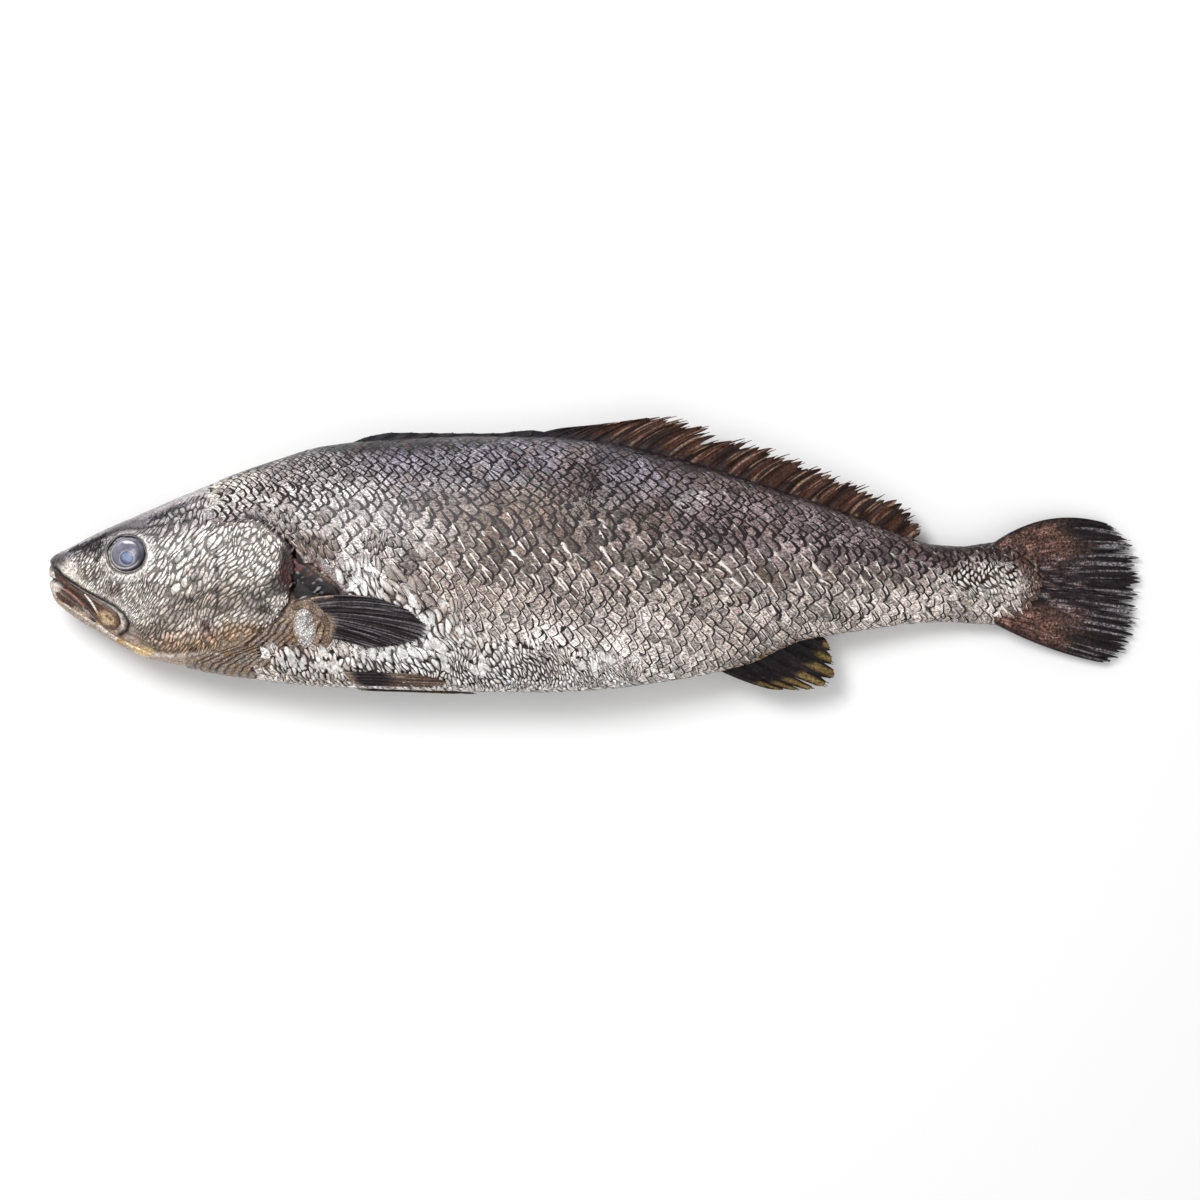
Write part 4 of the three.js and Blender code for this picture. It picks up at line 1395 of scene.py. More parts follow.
def lay_scales(name, side, pattern, places, margin, power, random):
    """Lays one band of overlapping scales, each cast, turned, rubbed and toned a little differently."""
    along, across, faces = pattern
    count = len(places)

    def vary(middle, spread):
        return np.clip(random.normal(middle, spread, (count, 1)), middle - 2 * spread, middle + 2 * spread)

    station, girth, pitch, row = (places[:, k:k + 1] for k in range(4))
    flat = skin(station, turn_at(station, girth))[:, 0]
    depth = depth_share(flat[:, 0], flat[:, 1])[:, None]
    wild = ruffled(flat[:, 0], flat[:, 1])[:, None]
    length = 3 * pitch * vary(1, 0.1) * (1 + 0.3 * wild)
    half_width = 0.66 * row * vary(1, 0.12) * (1 - wild * random.uniform(0.0, 0.2, (count, 1)))
    sway = 16 * cloud(flat, 12, 29)[:, None] * np.maximum(wild, smooth(depth, 0.45, 0.2))
    tilt = np.radians(vary(0, 9) + sway + vary(-16, 15) * wild)
    bow = vary(margin, 0.03) + 0.12 * wild * random.random((count, 1))
    x = length * (along * scale_margin(across, bow, power - 1.0 * wild) - 1)
    leaf = 1 - 0.25 * wild * smooth(along, 0.5, 1.05)
    y = half_width * across * np.interp(along, [0, 0.5, 1], [0.75, 1, 1]) * leaf
    x = x - edge_slope(girth) * (1 - 0.5 * smooth(station, 400, 500)) * y
    aside, up = turned(x, y, tilt)
    at_station, at_girth = station + aside, girth + up
    turn = turn_at(at_station, at_girth)
    share = turn_share(turn)
    limit = gill_edge(share) + np.where(gill_free(share) > 0.3, 2.6, -24)
    at_station = np.maximum(at_station, limit)
    turn = turn_at(at_station, at_girth)
    rim_calm = 1 - 0.7 * smooth(depth, 0.85, 0.96) - 0.5 * smooth(depth, 0.12, 0.03)
    raised = sizes().scale_lift / MM * (vary(1, 0.25) + 0.25 * wild * random.random((count, 1))) * rim_calm
    lift = -0.75 + (raised + 0.7) * along**1.2 * (1 - 0.22 * across**2)
    lift = lift + vary(-0.3, 0.12) * across * along * rim_calm
    lift = lift + 0.22 * np.sin(math.pi * along) * (1 - across**2)
    lift = np.minimum(lift * np.minimum(pitch / 5, 1), MOST_LIFT)
    points = lifted(at_station, on_side(turn, side), lift)
    piece = join_copies(name, faces, points, side)
    unwrap(piece.data, np.tile(np.column_stack([along, across / 2 + 0.5]), (count, 1)))
    bright = vary(1, 0.26) + (0.25 * cloud(flat, 7, 21) + 0.3 * cloud(flat, 15, 20))[:, None]
    colour = body_tone(skin(at_station, turn)) * np.clip(bright, 0.45, 1.6)[..., None]
    luck = random.random((count, 1))
    colour = blend(colour, "pale", 0.35 * wild * smooth(luck, 0.3, 0.7) * smooth(0.8 - depth, 0, 0.2))
    colour = blend(colour, tone("scuffed") * 0.7, 0.6 * wild * smooth(luck, 0.4, 0.15))
    colour = blend(colour, tone("scuffed") * 0.5, 0.8 * smooth(wild, 0.55, 0.95))
    stain = lumps(flat, 5, 19, 0.15, 0.7)[:, None] * smooth(depth, 0.1, 0.3)
    colour = blend(colour, "scuffed", 0.4 * stain * (1 - wild))
    paint(piece.data, colour.reshape(-1, 3))
    # How wide and bright each scale's cream facet is: partly rubbed scales, partly painted highlight.
    rubbed_rim_light = 0.74 - 0.5 * smooth(depth, 0.5, 0.78) + 0.25 * cloud(flat, 14, 22)[:, None] + vary(0, 0.24)
    # How strong the painted shadow along each scale's free edge is, stronger on the back.
    edge_shadow = 0.95 + 1.1 * smooth(depth, 0.5, 0.75) + vary(0, 0.25)
    measure(piece.data, "rubbed_rim_light", np.repeat(np.clip(rubbed_rim_light, 0, 1), len(along)))
    measure(piece.data, "edge_shadow", np.repeat(np.clip(edge_shadow, 0, 2.3), len(along)))
    complete(piece, "scale", angle=60)


class CROAKER_OT_scales(bpy.types.Operator):
    """Lays the overlapping scales on both sides of the trunk"""

    bl_idname = "croaker.scales"
    bl_label = "Scales"

    def execute(self, context):
        pattern = model_scale()
        for number, (label, side) in enumerate(SIDES.items()):
            for band, low, high, factor, tall, depth, power in SCALE_BANDS:
                random = np.random.default_rng(sizes().seed + 10 * number + len(band))
                places = scale_places(low, high, factor, tall, random)
                places = places[allowed(places[:, 0], places[:, 1])]
                lay_scales(f"scales_{label}_{band}", side, pattern, places, depth, power, random)
            centres = cell_places(random, 110000, SHAGGY_LAYOUT, ((100, -125), (560, 60)), shard_size)
            add_cells(
                f"shaggy_scales_{label}", side, centres, sizes().seed + number, SHAGGY_LAYOUT,
                lambda station, turn: SHARD_BASE, shard_tone, "shard", rise=1.5, twisted=0.3, apart=1.2,
            )
        return {"FINISHED"}


# ---- Eyes ----

# Tones from the middle of the lens outwards, by the share of the eyeball's radius.
IRIS_RAMP = [(0.28, "lens"), (0.32, "iris_dark"), (0.36, "iris"), (0.4, "iris_pale"), (0.44, "iris")]


def add_eyeball(label, side):
    low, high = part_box(f"eye_{label}")
    centre = (low + high) / 2
    piece = start(bpy.ops.mesh.primitive_uv_sphere_add, f"eyeball_{label}", segments=96, ring_count=64)
    unit = coordinates(piece.data)
    axes = eye_axes(side)
    points = (unit * EYEBALL) @ axes * MM + np.array(centre) + (1.2 * MM, 0, 0)
    place_vertices(piece.data, points)
    face_outwards(piece)
    aside, up = unit[:, 0], unit[:, 1]
    from_axis = np.hypot(aside - 0.1, up + 0.3)
    shade = cloud(unit * 10, 1.6, 31) * 0.5 + cloud(unit * 10, 4, 32) * 0.5
    colour = ramp_of(IRIS_RAMP, from_axis + 0.02 * shade) * (1 + 0.3 * shade[:, None])
    # Painted shade low on the eyeball's rear and at the bottom of the lens.
    low_shade = smooth(aside * 0.7 - up * 0.8 + 0.2 * shade, 0.25, 0.7) * smooth(from_axis, 0.42, 0.54)
    colour = blend(colour, "iris_dark", 0.85 * low_shade)
    lens_shade = smooth(-up - 0.3 - 0.6 * aside, 0.0, 0.25) * (1 - smooth(from_axis, 0.28, 0.34))
    colour = blend(colour, "iris_dark", 0.75 * lens_shade)
    # Painted highlight on the top of the eyeball.
    top_light = smooth(up - 0.35 * aside + 0.2 * shade, 0.3, 0.8) * smooth(from_axis, 0.5, 0.6)
    colour = blend(colour, "iris_pale", 0.6 * top_light)
    out = np.hypot(aside, up)
    pale = bell(out - 0.83, 0.035) * smooth(-aside - up, -0.5, 0.6)
    colour = blend(colour, tone("pale") * 0.8, 0.8 * pale)
    ring = np.maximum(smooth(out, 0.91, 0.96), 0.5 * bell(out - 0.76, 0.03))
    colour = blend(colour, "pupil_rim", ring)
    glare = smooth(up, 0.35, 0.6) * smooth(cloud(unit * 10, 3, 33), 0.0, 0.4) * (1 - smooth(out, 0.66, 0.74))
    colour = blend(colour, "pale", 0.9 * glare)
    paint(piece.data, colour)
    complete(piece, "eye", replaces=f"eye_{label}")


def add_lid(label, side):
    piece = start(
        bpy.ops.mesh.primitive_torus_add, f"eyelid_{label}", major_segments=96, minor_segments=12,
        major_radius=1, minor_radius=0.1,
    )
    unit = coordinates(piece.data)
    angle = np.arctan2(unit[:, 1], unit[:, 0])
    radial = np.hypot(unit[:, 0], unit[:, 1]) - 1
    wobble = 1 + 0.02 * np.sin(angle * 3 + 1) + 0.015 * np.sin(angle * 7)
    reach = (10.9 + radial * 8) * wobble
    station = EYE[0] + reach * np.cos(angle) * 1.06
    level = EYE[1] + reach * np.sin(angle) * 0.98
    turn = turn_for(station, level, side)
    set_coordinates(piece.data, lifted(station, turn, -0.2 + unit[:, 2] * 8))
    face_outwards(piece)
    inner = smooth(radial, -0.05, -0.09)
    ragged = cloud(flat_points(station, level), 5, 34)
    skin_tone = head_colour(skin(station, turn)) * (0.8 + 0.25 * ragged[:, None])
    paint(piece.data, blend(skin_tone, "pupil_rim", inner))
    complete(piece, "head skin")


class CROAKER_OT_eyes(bpy.types.Operator):
    """Adds the two clouded eyeballs and the soft rims of their lids"""

    bl_idname = "croaker.eyes"
    bl_label = "Eyes"

    def execute(self, context):
        for label, side in SIDES.items():
            add_eyeball(label, side)
            add_lid(label, side)
        return {"FINISHED"}


def eye_axes(side):
    """Unit vectors at the eye, as rows: along the fish, up to its back, and out of the skin."""
    turn = turn_for(EYE[0], EYE[1], side)
    points = lifted(np.array([EYE[0]] * 2), np.array([turn] * 2), np.array([0, 1.0]))
    out = normalised(points[1] - points[0])
    along = normalised((1, 0, 0) - out * out[0])
    return np.array([along, np.cross(out, along) * side, out])


# ---- Raised pieces that follow a line on the skin ----

def strap(name, side, line, width, crown, base, colour, finish, steps=60, across=10, thick=1.5):
    """A domed strip along a line on the skin. width, and crown if it varies, are functions of the share of its
    length."""
    piece = start(
        bpy.ops.mesh.primitive_grid_add, name, x_subdivisions=steps, y_subdivisions=across, size=2,
    )
    unit = coordinates(piece.data)
    share, aside = (unit[:, 0] + 1) / 2, unit[:, 1]
    read = route(line)
    middle = read(share)
    ahead = normalised(read(np.clip(share + 0.02, 0, 1)) - read(np.clip(share - 0.02, 0, 1)))
    half = width(share) * aside
    station = middle[:, 0] - ahead[:, 1] * half
    level = middle[:, 1] + ahead[:, 0] * half
    dome = (crown(share) if callable(crown) else crown) * np.sqrt(np.maximum(1 - aside**2, 0))
    flat = skin(station, turn_for(station, level))
    lift = base + dome + 0.12 * cloud(flat, 2.2, 51)
    set_coordinates(piece.data, lifted(station, turn_for(station, level, side), lift))
    paint(piece.data, colour(share, aside, flat))
    if side < 0:
        piece.data.flip_normals()
    wall(piece, thick)
    complete(piece, finish)


def add_straps(rows):
    """Straps on both sides. A row has the start and end of a name, and what strap takes."""
    for label, side in SIDES.items():
        for name, end, line, width, crown, base, colour, finish, settings in rows:
            strap(f"{name}_{label}{end}", side, line, width, crown, base, colour, finish, **settings)


def swelling(ends, more):
    """A strap's width at its ends, and how much more in its middle."""
    return lambda share: ends + more * np.sin(math.pi * share)


# A small strap's rows of faces each way and its wall.
SMALL = {"steps": 24, "across": 6, "thick": 0.8}


def bone_tone(share, aside, flat):
    mottle = cloud(flat, 4, 52)
    lines = cloud(flat_points(share * 5, aside * 3.5), 1, 56)
    colour = blend(tone("maxilla") * 0.5, tone("maxilla") * 1.7, smooth(lines + 0.4 * share, -0.2, 0.7))
    disc = np.hypot((share - 0.84) * 4.6, aside)
    plate = blend(tone("plate") * 1.1, tone("maxilla") * 1.3, lumps(flat, 1.8, 57, 0.1, 0.6))
    colour = blend(colour, plate, 1 - smooth(disc + 0.15 * mottle, 0.35, 0.7))
    # Painted shade along the bone's edges, where it meets the skin.
    return blend(colour, "gap", 0.85 * smooth(np.abs(aside), 0.7, 1.0))


def pink_tone(share, aside, flat):
    dark = smooth(np.abs(aside) + 0.3 * cloud(flat, 2, 53), 0.2, 1)
    return blend(tone("pink") * 1.2, tone("pink") * 0.6, dark)


def lip_tone(share, aside, flat):
    colour = blend(tone("jaw") * 0.8, "maxilla", smooth(cloud(flat, 4, 55) + aside, -0.3, 0.7))
    # Painted shade along the lip's edges.
    return blend(colour, "gap", 0.6 * smooth(np.abs(aside), 0.75, 1.0))


def edge_tone(share, aside, flat):
    colour = blend(tone("rim") * 0.85, "gold", lumps(flat, 4, 54, 0.0, 0.5))
    colour = blend(colour, "yellow", smooth(share, 0.6, 0.9))
    # Painted shade along the strap's lower edge.
    return blend(colour, "gap", 0.6 * smooth(aside, -0.3, -1.0))


def fold_tone(share, aside, flat):
    return blend("rim", "gold", smooth(share, 0.5, 1))


JAW_STRAPS = [
    (
        "jaw_bone", "", [(2.4, -8.6), (8.8, -14.4), (15.4, -19.4), (22.6, -24.9), (29.7, -30.7), (39.6, -38.6)],
        lambda s: np.interp(s, [0, 0.25, 0.45, 0.62, 0.78, 0.9, 0.97, 1], [1.5, 1.9, 2.9, 4.3, 5.7, 5.6, 4, 2]),
        lambda s: 0.7 + 0.9 * s, -0.5, bone_tone, "jaw", {},
    ),
    (
        "mouth_lining", "", [(8, -17.6), (12.5, -20.2), (17, -23.6), (20.5, -28)], swelling(0.4, 0.8), 0.6, -0.3,
        pink_tone, "jaw", SMALL,
    ),
    (
        "lower_lip", "", [(1.4, -17.5), (5.5, -22.5), (12, -27.6), (19, -32), (26, -36.4)],
        swelling(1.2, 1.5), 0.8, -0.6, lip_tone, "jaw", {},
    ),
    (
        "jaw_edge", "",
        [(2.8, -20.5), (5, -23.6), (10, -27), (19.8, -33.2), (27.2, -38), (34.1, -43.2), (43, -48), (57, -54)],
        swelling(0.5, 0.5), 0.6, -0.2, edge_tone, "jaw", {},
    ),
    (
        "jaw_fold", "", [(21.6, -20.6), (25.3, -25), (27.2, -28.3), (30.3, -33.2)], swelling(0.35, 0.25), 0.5, 1.1,
        fold_tone, "jaw", SMALL,
    ),
]


class CROAKER_OT_jaws(bpy.types.Operator):
    """Adds the upper jaw bones, the lips and the golden skin at the corner of the mouth"""

    bl_idname = "croaker.jaws"
    bl_label = "Jaws"

    def execute(self, context):
        add_straps(JAW_STRAPS)
        return {"FINISHED"}


def hollow_tone(share, aside, flat):
    red = (1 - smooth(share, 0.2, 0.6)) * lumps(flat, 2.5, 61, -0.3, 0.3)
    # The hollow is painted in half the membrane tone: the lining's dark, deepened as painted shade.
    colour = blend(tone("membrane") * 0.5, tone("gill") * 1.2, red)
    # Painted highlights: pale wet specks on the hollow's lining.
    pale = lumps(flat * (0.7, 1.4, 1), 1.5, 62, 0.4, 0.7) * 0.7
    return blend(colour, "streak", pale)


def glint_tone(share, aside, flat):
    pale = (1 - smooth(np.abs(aside) + 0.6 * cloud(flat, 1.6, 64), 0.1, 0.7)) * np.sin(math.pi * share)
    return blend(tone("membrane") * 0.5, tone("streak") * 1.1, pale)


def rim_tone(share, aside, flat):
    colour = blend("shoulder", tone("pink") * 1.1, 0.6 * smooth(aside + 0.4 * cloud(flat, 3, 65), 0, -0.8))
    colour = blend(colour, "scuffed", lumps(flat, 3, 66, 0.1, 0.6) * 0.8)
    return blend(colour, "gill", 0.8 * smooth(aside, -0.6, -1))


def gold_tone(share, aside, flat):
    colour = blend(tone("jaw") * 0.8, "scuffed", 0.7 * lumps(flat, 3, 63, -0.4, 0.4))
    colour = blend(colour, tone("gold") * 0.7, 0.25 * lumps(flat, 2, 60, 0, 0.5))
    # Painted shade along the root's edges.
    return blend(colour, "gap", 0.6 * smooth(np.abs(aside), 0.7, 1))


def oval_tone(share, aside, flat):
    across, along = flat[:, 0] - flat[:, 1], flat[:, 0] + flat[:, 1]
    hairs = cloud(flat_points(across * 1.6, along * 0.4), 1.6, 68)
    colour = blend("pale", "jaw", 0.6 * lumps(flat, 4, 67, 0, 0.6))
    colour = blend(colour, "maxilla", 0.7 * smooth(hairs, 0.1, 0.6))
    return blend(colour, "yellow", 0.5 * smooth(aside, -0.6, -0.95))


def round_ends(share):
    return np.sqrt(np.clip(1 - (2 * share - 1) ** 2, 0.01, 1))


GILL_STRAPS = [
    (
        "hollow", "", [(133, -1.5), (138, -8), (145, -14.5), (152.5, -19.2), (161, -22)],
        lambda s: 0.8 + 5.6 * round_ends(s), 0.7, -2.6, hollow_tone, "membrane", {},
    ),
    (
        "lining_fold", "_0", [(147, -20.5), (150, -18.6), (152.4, -16.4)],
        lambda s: 1.6 * swelling(0.3, 0.7)(s), 0.9, -1.7, glint_tone, "membrane", {**SMALL, "steps": 16},
    ),
    (
        "lining_fold", "_1", [(137.5, -26), (141, -23.4), (145, -21.8)],
        lambda s: 1.3 * swelling(0.3, 0.7)(s), 0.9, -1.7, glint_tone, "membrane", {**SMALL, "steps": 16},
    ),
    (
        "shoulder_rim", "", [(138.5, 5.6), (147, 1.2), (154.8, -6.4), (161.6, -13.6), (166.5, -20.5)],
        swelling(1.1, 2.1), 1.3, -0.7, rim_tone, "flesh", {},
    ),
    (
        "fin_root", "", [(136, -27.5), (146, -26.5), (154.5, -32), (157, -40), (152, -50.5)],
        lambda s: 1 + 3.2 * round_ends(s), 1.7, -0.8, gold_tone, "flesh", {},
    ),
    (
        "fin_oval", "", [(142, -28.5), (142.8, -38.8), (143, -49.5)],
        lambda s: 6.3 * round_ends(s), 2.2, -0.7, oval_tone, "flesh", {"across": 16},
    ),
]


class CROAKER_OT_gills(bpy.types.Operator):
    """Adds the linings behind the gill covers, the shoulder's bare rim and the breast fins' fleshy roots"""

    bl_idname = "croaker.gills"
    bl_label = "Gills"

    def execute(self, context):
        add_straps(GILL_STRAPS)
        return {"FINISHED"}


# ---- Fins ----

def on_middle(station, level):
    return middle_height(station)


def against_side(side, stand_off):
    """Heights of a fin that lies along the side, `stand_off` outside the scales."""

    def height(station, level):
        turn = turn_for(station, level, side)
        return skin(station, turn)[..., 2] + side * stand_off

    return height


class Fin:
    """The layout of one fin: its root and tips, and how its rays and web fill the space between."""

    web, bow, fray, teeth, tooth, strands, split, clump = 0.85, 0, 0.05, 0, 0.1, 3, 0.5, 0.8
    shaft, tip, root_wall, wall, pleat, slits, seed, out = 0.7, 0.2, 3, 0.8, 0.3, (), 1, 1

    def __init__(self, name, root, tips, rays, height, **settings):
        self.name, self.root, self.tips, self.rays, self.height = name, route(root), route(tips), rays, height
        vars(self).update(settings)
        self.teeth = self.teeth or rays

    def place(self, share, reach):
        """Station and level at a share along the fin and a reach from its root, 0, to its tips, 1."""
        share, reach = np.broadcast_arrays(np.asarray(share, float), np.asarray(reach, float))
        rooted, tip = self.root(np.clip(share, 0, 1)), self.tips(np.clip(share, 0, 1))
        aside = np.stack([rooted[..., 1] - tip[..., 1], tip[..., 0] - rooted[..., 0]], -1)
        bow = self.bow(share) if callable(self.bow) else self.bow
        return rooted + (tip - rooted) * reach[..., None] + aside * (bow * reach * (1 - reach))[..., None]

    def point(self, share, reach, stand_off=0.0):
        flat = self.place(share, reach)
        height = self.height(flat[..., 0], flat[..., 1]) + stand_off
        return np.concatenate([flat, np.maximum(height, REST_GAP + 0.3)[..., None]], -1)

    def half_wall(self, reach):
        """Half the fin's thickness, which falls from its fleshy root to its thin edge."""
        return (self.wall + (self.root_wall - self.wall) * (1 - smooth(reach, 0, 0.55))) / 2

    def edge(self, share):
        """How far the web reaches out: a pointed tooth at each ray, and the slits that are torn in it."""
        random = np.random.default_rng(self.seed)
        lengths = random.uniform(-1, 1, self.teeth)
        number = np.clip(np.floor(share * self.teeth).astype(int), 0, self.teeth - 1)
        blunt = np.abs(share * self.teeth - number - 0.5) * 2
        reach = self.web * (1 - self.tooth * blunt**1.3 + self.fray * lengths[number])
        for at, half_width, depth in self.slits:
            reach = reach - depth * np.clip(1 - np.abs(share - at) / half_width, 0, 1) ** 0.7
        return reach


def web(fin, colour, finish):
    """The skin between a fin's rays: a pleated wall, thick at its root, with a toothed and torn edge."""
    columns, rows = fin.teeth * 6, 18
    piece = start(
        bpy.ops.mesh.primitive_grid_add, f"{fin.name}_web", x_subdivisions=columns, y_subdivisions=rows, size=2,
    )
    unit = coordinates(piece.data)
    share, reach = (unit[:, 0] + 1) / 2, (unit[:, 1] + 1) / 2
    reach = reach * fin.edge(share)
    pleat = fin.pleat * np.cos(2 * math.pi * fin.rays * share) * np.minimum(reach * 3, 1)
    points = fin.point(share, reach, -pleat)
    set_coordinates(piece.data, points)
    paint(piece.data, colour(share, reach, points))
    measure(piece.data, "swell", fin.half_wall(reach) / (fin.wall / 2))
    measure(piece.data, "rest", points[:, 2])
    wall(piece, fin.wall, offset=0)
    mesh = piece.data
    swell, rest = read_measure(mesh, "swell"), read_measure(mesh, "rest")
    shaped = coordinates(mesh)
    shaped[:, 2] = np.maximum(rest + (shaped[:, 2] / MM - rest) * swell, REST_GAP) * MM
    place_vertices(mesh, shaped)
    face_outwards(piece)
    complete(piece, finish)


def rays(fin, colour, finish):
    """A fin's rays, each a shaft that parts into finer strands whose ends run past the web."""
    random = np.random.default_rng(fin.seed + 100)
    paths = []

    def rod(share, reach, radii, luck, stand_off):
        stand_off = stand_off + fin.half_wall(reach) * 0.75
        points = fin.point(share, reach, fin.out * stand_off)
        paths.append((points, radii, colour(share + 0 * reach, reach, points, luck)))

    for number in range(fin.rays):
        middle = (number + 0.5) / fin.rays
        reach = np.linspace(0.0, fin.split, 6)
        rod(middle, reach, np.interp(reach, [0, 1], [fin.shaft, fin.tip * 1.6]), random.random(), 0)
        for strand in range(fin.strands):
            aim = (strand + 0.5) / fin.strands - 0.5
            end = 1 - 0.1 * abs(aim) + fin.fray * random.uniform(-1.5, 0.8)
            reach = np.linspace(fin.split - 0.04, end, 10)
            opened = smooth(reach, fin.split - 0.1, 0.9)
            bend = 0.1 * random.uniform(-1, 1) * smooth(reach, 0.75, 1.05)
            share = middle + fin.clump / fin.rays * (aim * opened + bend)
            radii = np.interp(reach, [fin.split, end * 0.8, end], [fin.shaft * 0.5, fin.tip * 1.4, fin.tip * 0.4])
            rod(share, reach, radii, random.random(), random.uniform(-0.25, 0.2))
    complete(tubes(f"{fin.name}_rays", paths), finish)


def add_fin(fin, web_tone, ray_tone, finish="fin"):
    """A fin's web and rays."""
    web(fin, web_tone, finish)
    rays(fin, ray_tone, finish)


def streaked(dark, light, share, reach, lines, seed, amount=0.6, low=0.1, high=0.6):
    """Streaks along the rays: noise that is fine across the fin and long outwards."""
    field = cloud(flat_points(share * lines, reach * 2.2), 1, seed)
    return blend(dark, light, smooth(field, low, high) * amount)


def add_dorsal():
    fin = Fin(
        "dorsal",
        [(262, 64.5), (290, 61.5), (311, 58.5), (353, 48), (395, 35), (437, 21), (466, 10), (474, 7.5)],
        [
            (298, 70.5), (325, 75.6), (341, 77), (354, 73), (366, 69.8), (374, 64.2), (386, 64.6),
            (403, 57.5), (425, 49), (443, 41.5), (461, 34.4), (474, 27.5), (480.5, 17), (482, 13),
        ],
        30, on_middle, web=0.9, bow=0.3, fray=0.12, teeth=54, tooth=0.17, strands=2, split=0.45, clump=0.6,
        shaft=0.6, tip=0.34, root_wall=2.6, wall=0.6, pleat=0.45, seed=4,
        slits=[(0.375, 0.012, 0.3), (0.47, 0.008, 0.2), (0.2, 0.006, 0.15), (0.62, 0.006, 0.15)],
    )

    def web_tone(share, reach, points):
        colour = streaked(tone("fin") * 0.25, tone("fin") * 1.15, share, reach, 170, 71, 1.0, -0.3, 0.5)
        bright = lumps(flat_points(share * 200, reach * 2), 1, 70, 0.4, 0.8)
        colour = blend(colour, tone("ray") * 0.8, 0.6 * bright)
        # Darker near the root: painted shadow where the fin meets the back, over the web's own darker base.
        colour = blend(tone("ridge") * 0.5, colour, smooth(reach + 0.2 * share, 0.08, 0.4))
        return blend(colour, tone("ridge") * 0.6, 0.8 * (1 - smooth(share, 0.04, 0.16)))

    def ray_tone(share, reach, points, luck):
        colour = blend(tone("fin") * 0.5, "fin", smooth(reach, 0.1, 0.5) * luck)
        colour = blend(colour, "ray", smooth(reach, 0.3, 0.6) * (luck > 0.84) * 0.8)
        # The rays too are darker near the root: painted shadow where the fin meets the back.
        colour = blend(tone("ridge") * 0.6, colour, smooth(reach, 0.1, 0.35) * smooth(share, 0.02, 0.12))
        return blend(colour, tone("fin") * 0.7, 0.7 * smooth(reach, 0.86, 1))

    add_fin(fin, web_tone, ray_tone)


def add_spines():
    fin = Fin(
        "spines", [(158, 59), (200, 62), (240, 63), (268, 63)],
        [(172, 64.6), (186, 68), (215, 68.2), (245, 68), (262, 69.8), (272, 69.2)],
        9, on_middle, web=0.97, fray=0.03, tooth=0.04, strands=1, split=0.7, clump=0.3, shaft=1.0, tip=0.5,
        root_wall=5, wall=2, pleat=0.1, seed=5,
    )

    def dark(share, reach, points, luck=0):
        return streaked(tone("ridge") * 0.35, "ridge", share, reach, 40, 74, 0.8)

    add_fin(fin, dark, dark)


def add_tail():
    fin = Fin(
        "tail", [(522, -37), (520, -26), (520, -3), (522, 8)],
        [
            (583.5, -59), (590, -56.5), (595, -53), (599.5, -46.5), (602, -38), (603.6, -30), (603, -20),
            (603.6, -8), (602.6, 0), (600.5, 6.5), (596, 11), (591, 15.5), (588, 18),
        ],
        18, on_middle, web=0.985, fray=0.03, teeth=40, tooth=0.07, strands=5, split=0.36, clump=0.95,
        shaft=0.5, tip=0.3, root_wall=9.5, wall=1.2, pleat=0.4, seed=1,
        bow=lambda share: np.where(share < 0.5, -0.15, 0.5) * (2 * share - 1) ** 2,
        slits=[
            (0.1, 0.008, 0.06), (0.2, 0.01, 0.09), (0.29, 0.008, 0.07), (0.375, 0.013, 0.2), (0.466, 0.013, 0.2),
            (0.56, 0.008, 0.06), (0.66, 0.008, 0.05), (0.76, 0.013, 0.2), (0.84, 0.01, 0.1), (0.91, 0.03, 0.14),
        ],
    )

    def web_tone(share, reach, points):
        edge = reach + 0.1 * cloud(points, 8, 75) - 0.08 * (1 - (2 * share - 1) ** 2)
        wing = smooth(np.abs(2 * share - 1.05), 0.2, 0.6)
        mottle = 0.7 * cloud(points * (0.5, 1, 1), 2.2, 69) + 0.5 * cloud(points * (0.5, 1, 1), 1.2, 67)
        specks = blend(tone("tail") * 1.2, tone("tail_root") * 0.75, wing)
        specks = blend(specks, tone("tail_root") * 2.3, (0.4 + 0.5 * wing) * smooth(mottle, 0, 0.55))
        specks = blend(specks, "streak", 0.7 * (1 - wing) * smooth(mottle, 0.2, 0.6))
        dark = tone("tail") * 0.6 * (1 + 0.8 * cloud(points * (0.3, 1, 1), 2, 76)[..., None])
        dark = streaked(dark, tone("streak") * 0.72, share, reach, 80, 68, 0.9, 0.3, 0.7)
        colour = blend(specks, dark, smooth(edge, 0.45, 0.7))
        border = smooth(np.abs(2 * share - 1), 0.86, 1.0)
        return blend(colour, tone("tail") * 0.5, 0.9 * border)

    def ray_tone(share, reach, points, luck):
        colour = web_tone(share, reach, points)
        # Painted highlight: pale glints along some of the rays.
        pale = smooth(luck, 0.72, 0.95) * smooth(reach, 0.45, 0.55) * (1 - smooth(reach, 0.8, 0.95))
        blotch = lumps(flat_points(share * 60, reach * 4), 1, 77, -0.2, 0.4)
        return blend(colour, "streak", pale * blotch * 0.9)

    add_fin(fin, web_tone, ray_tone, "tail")


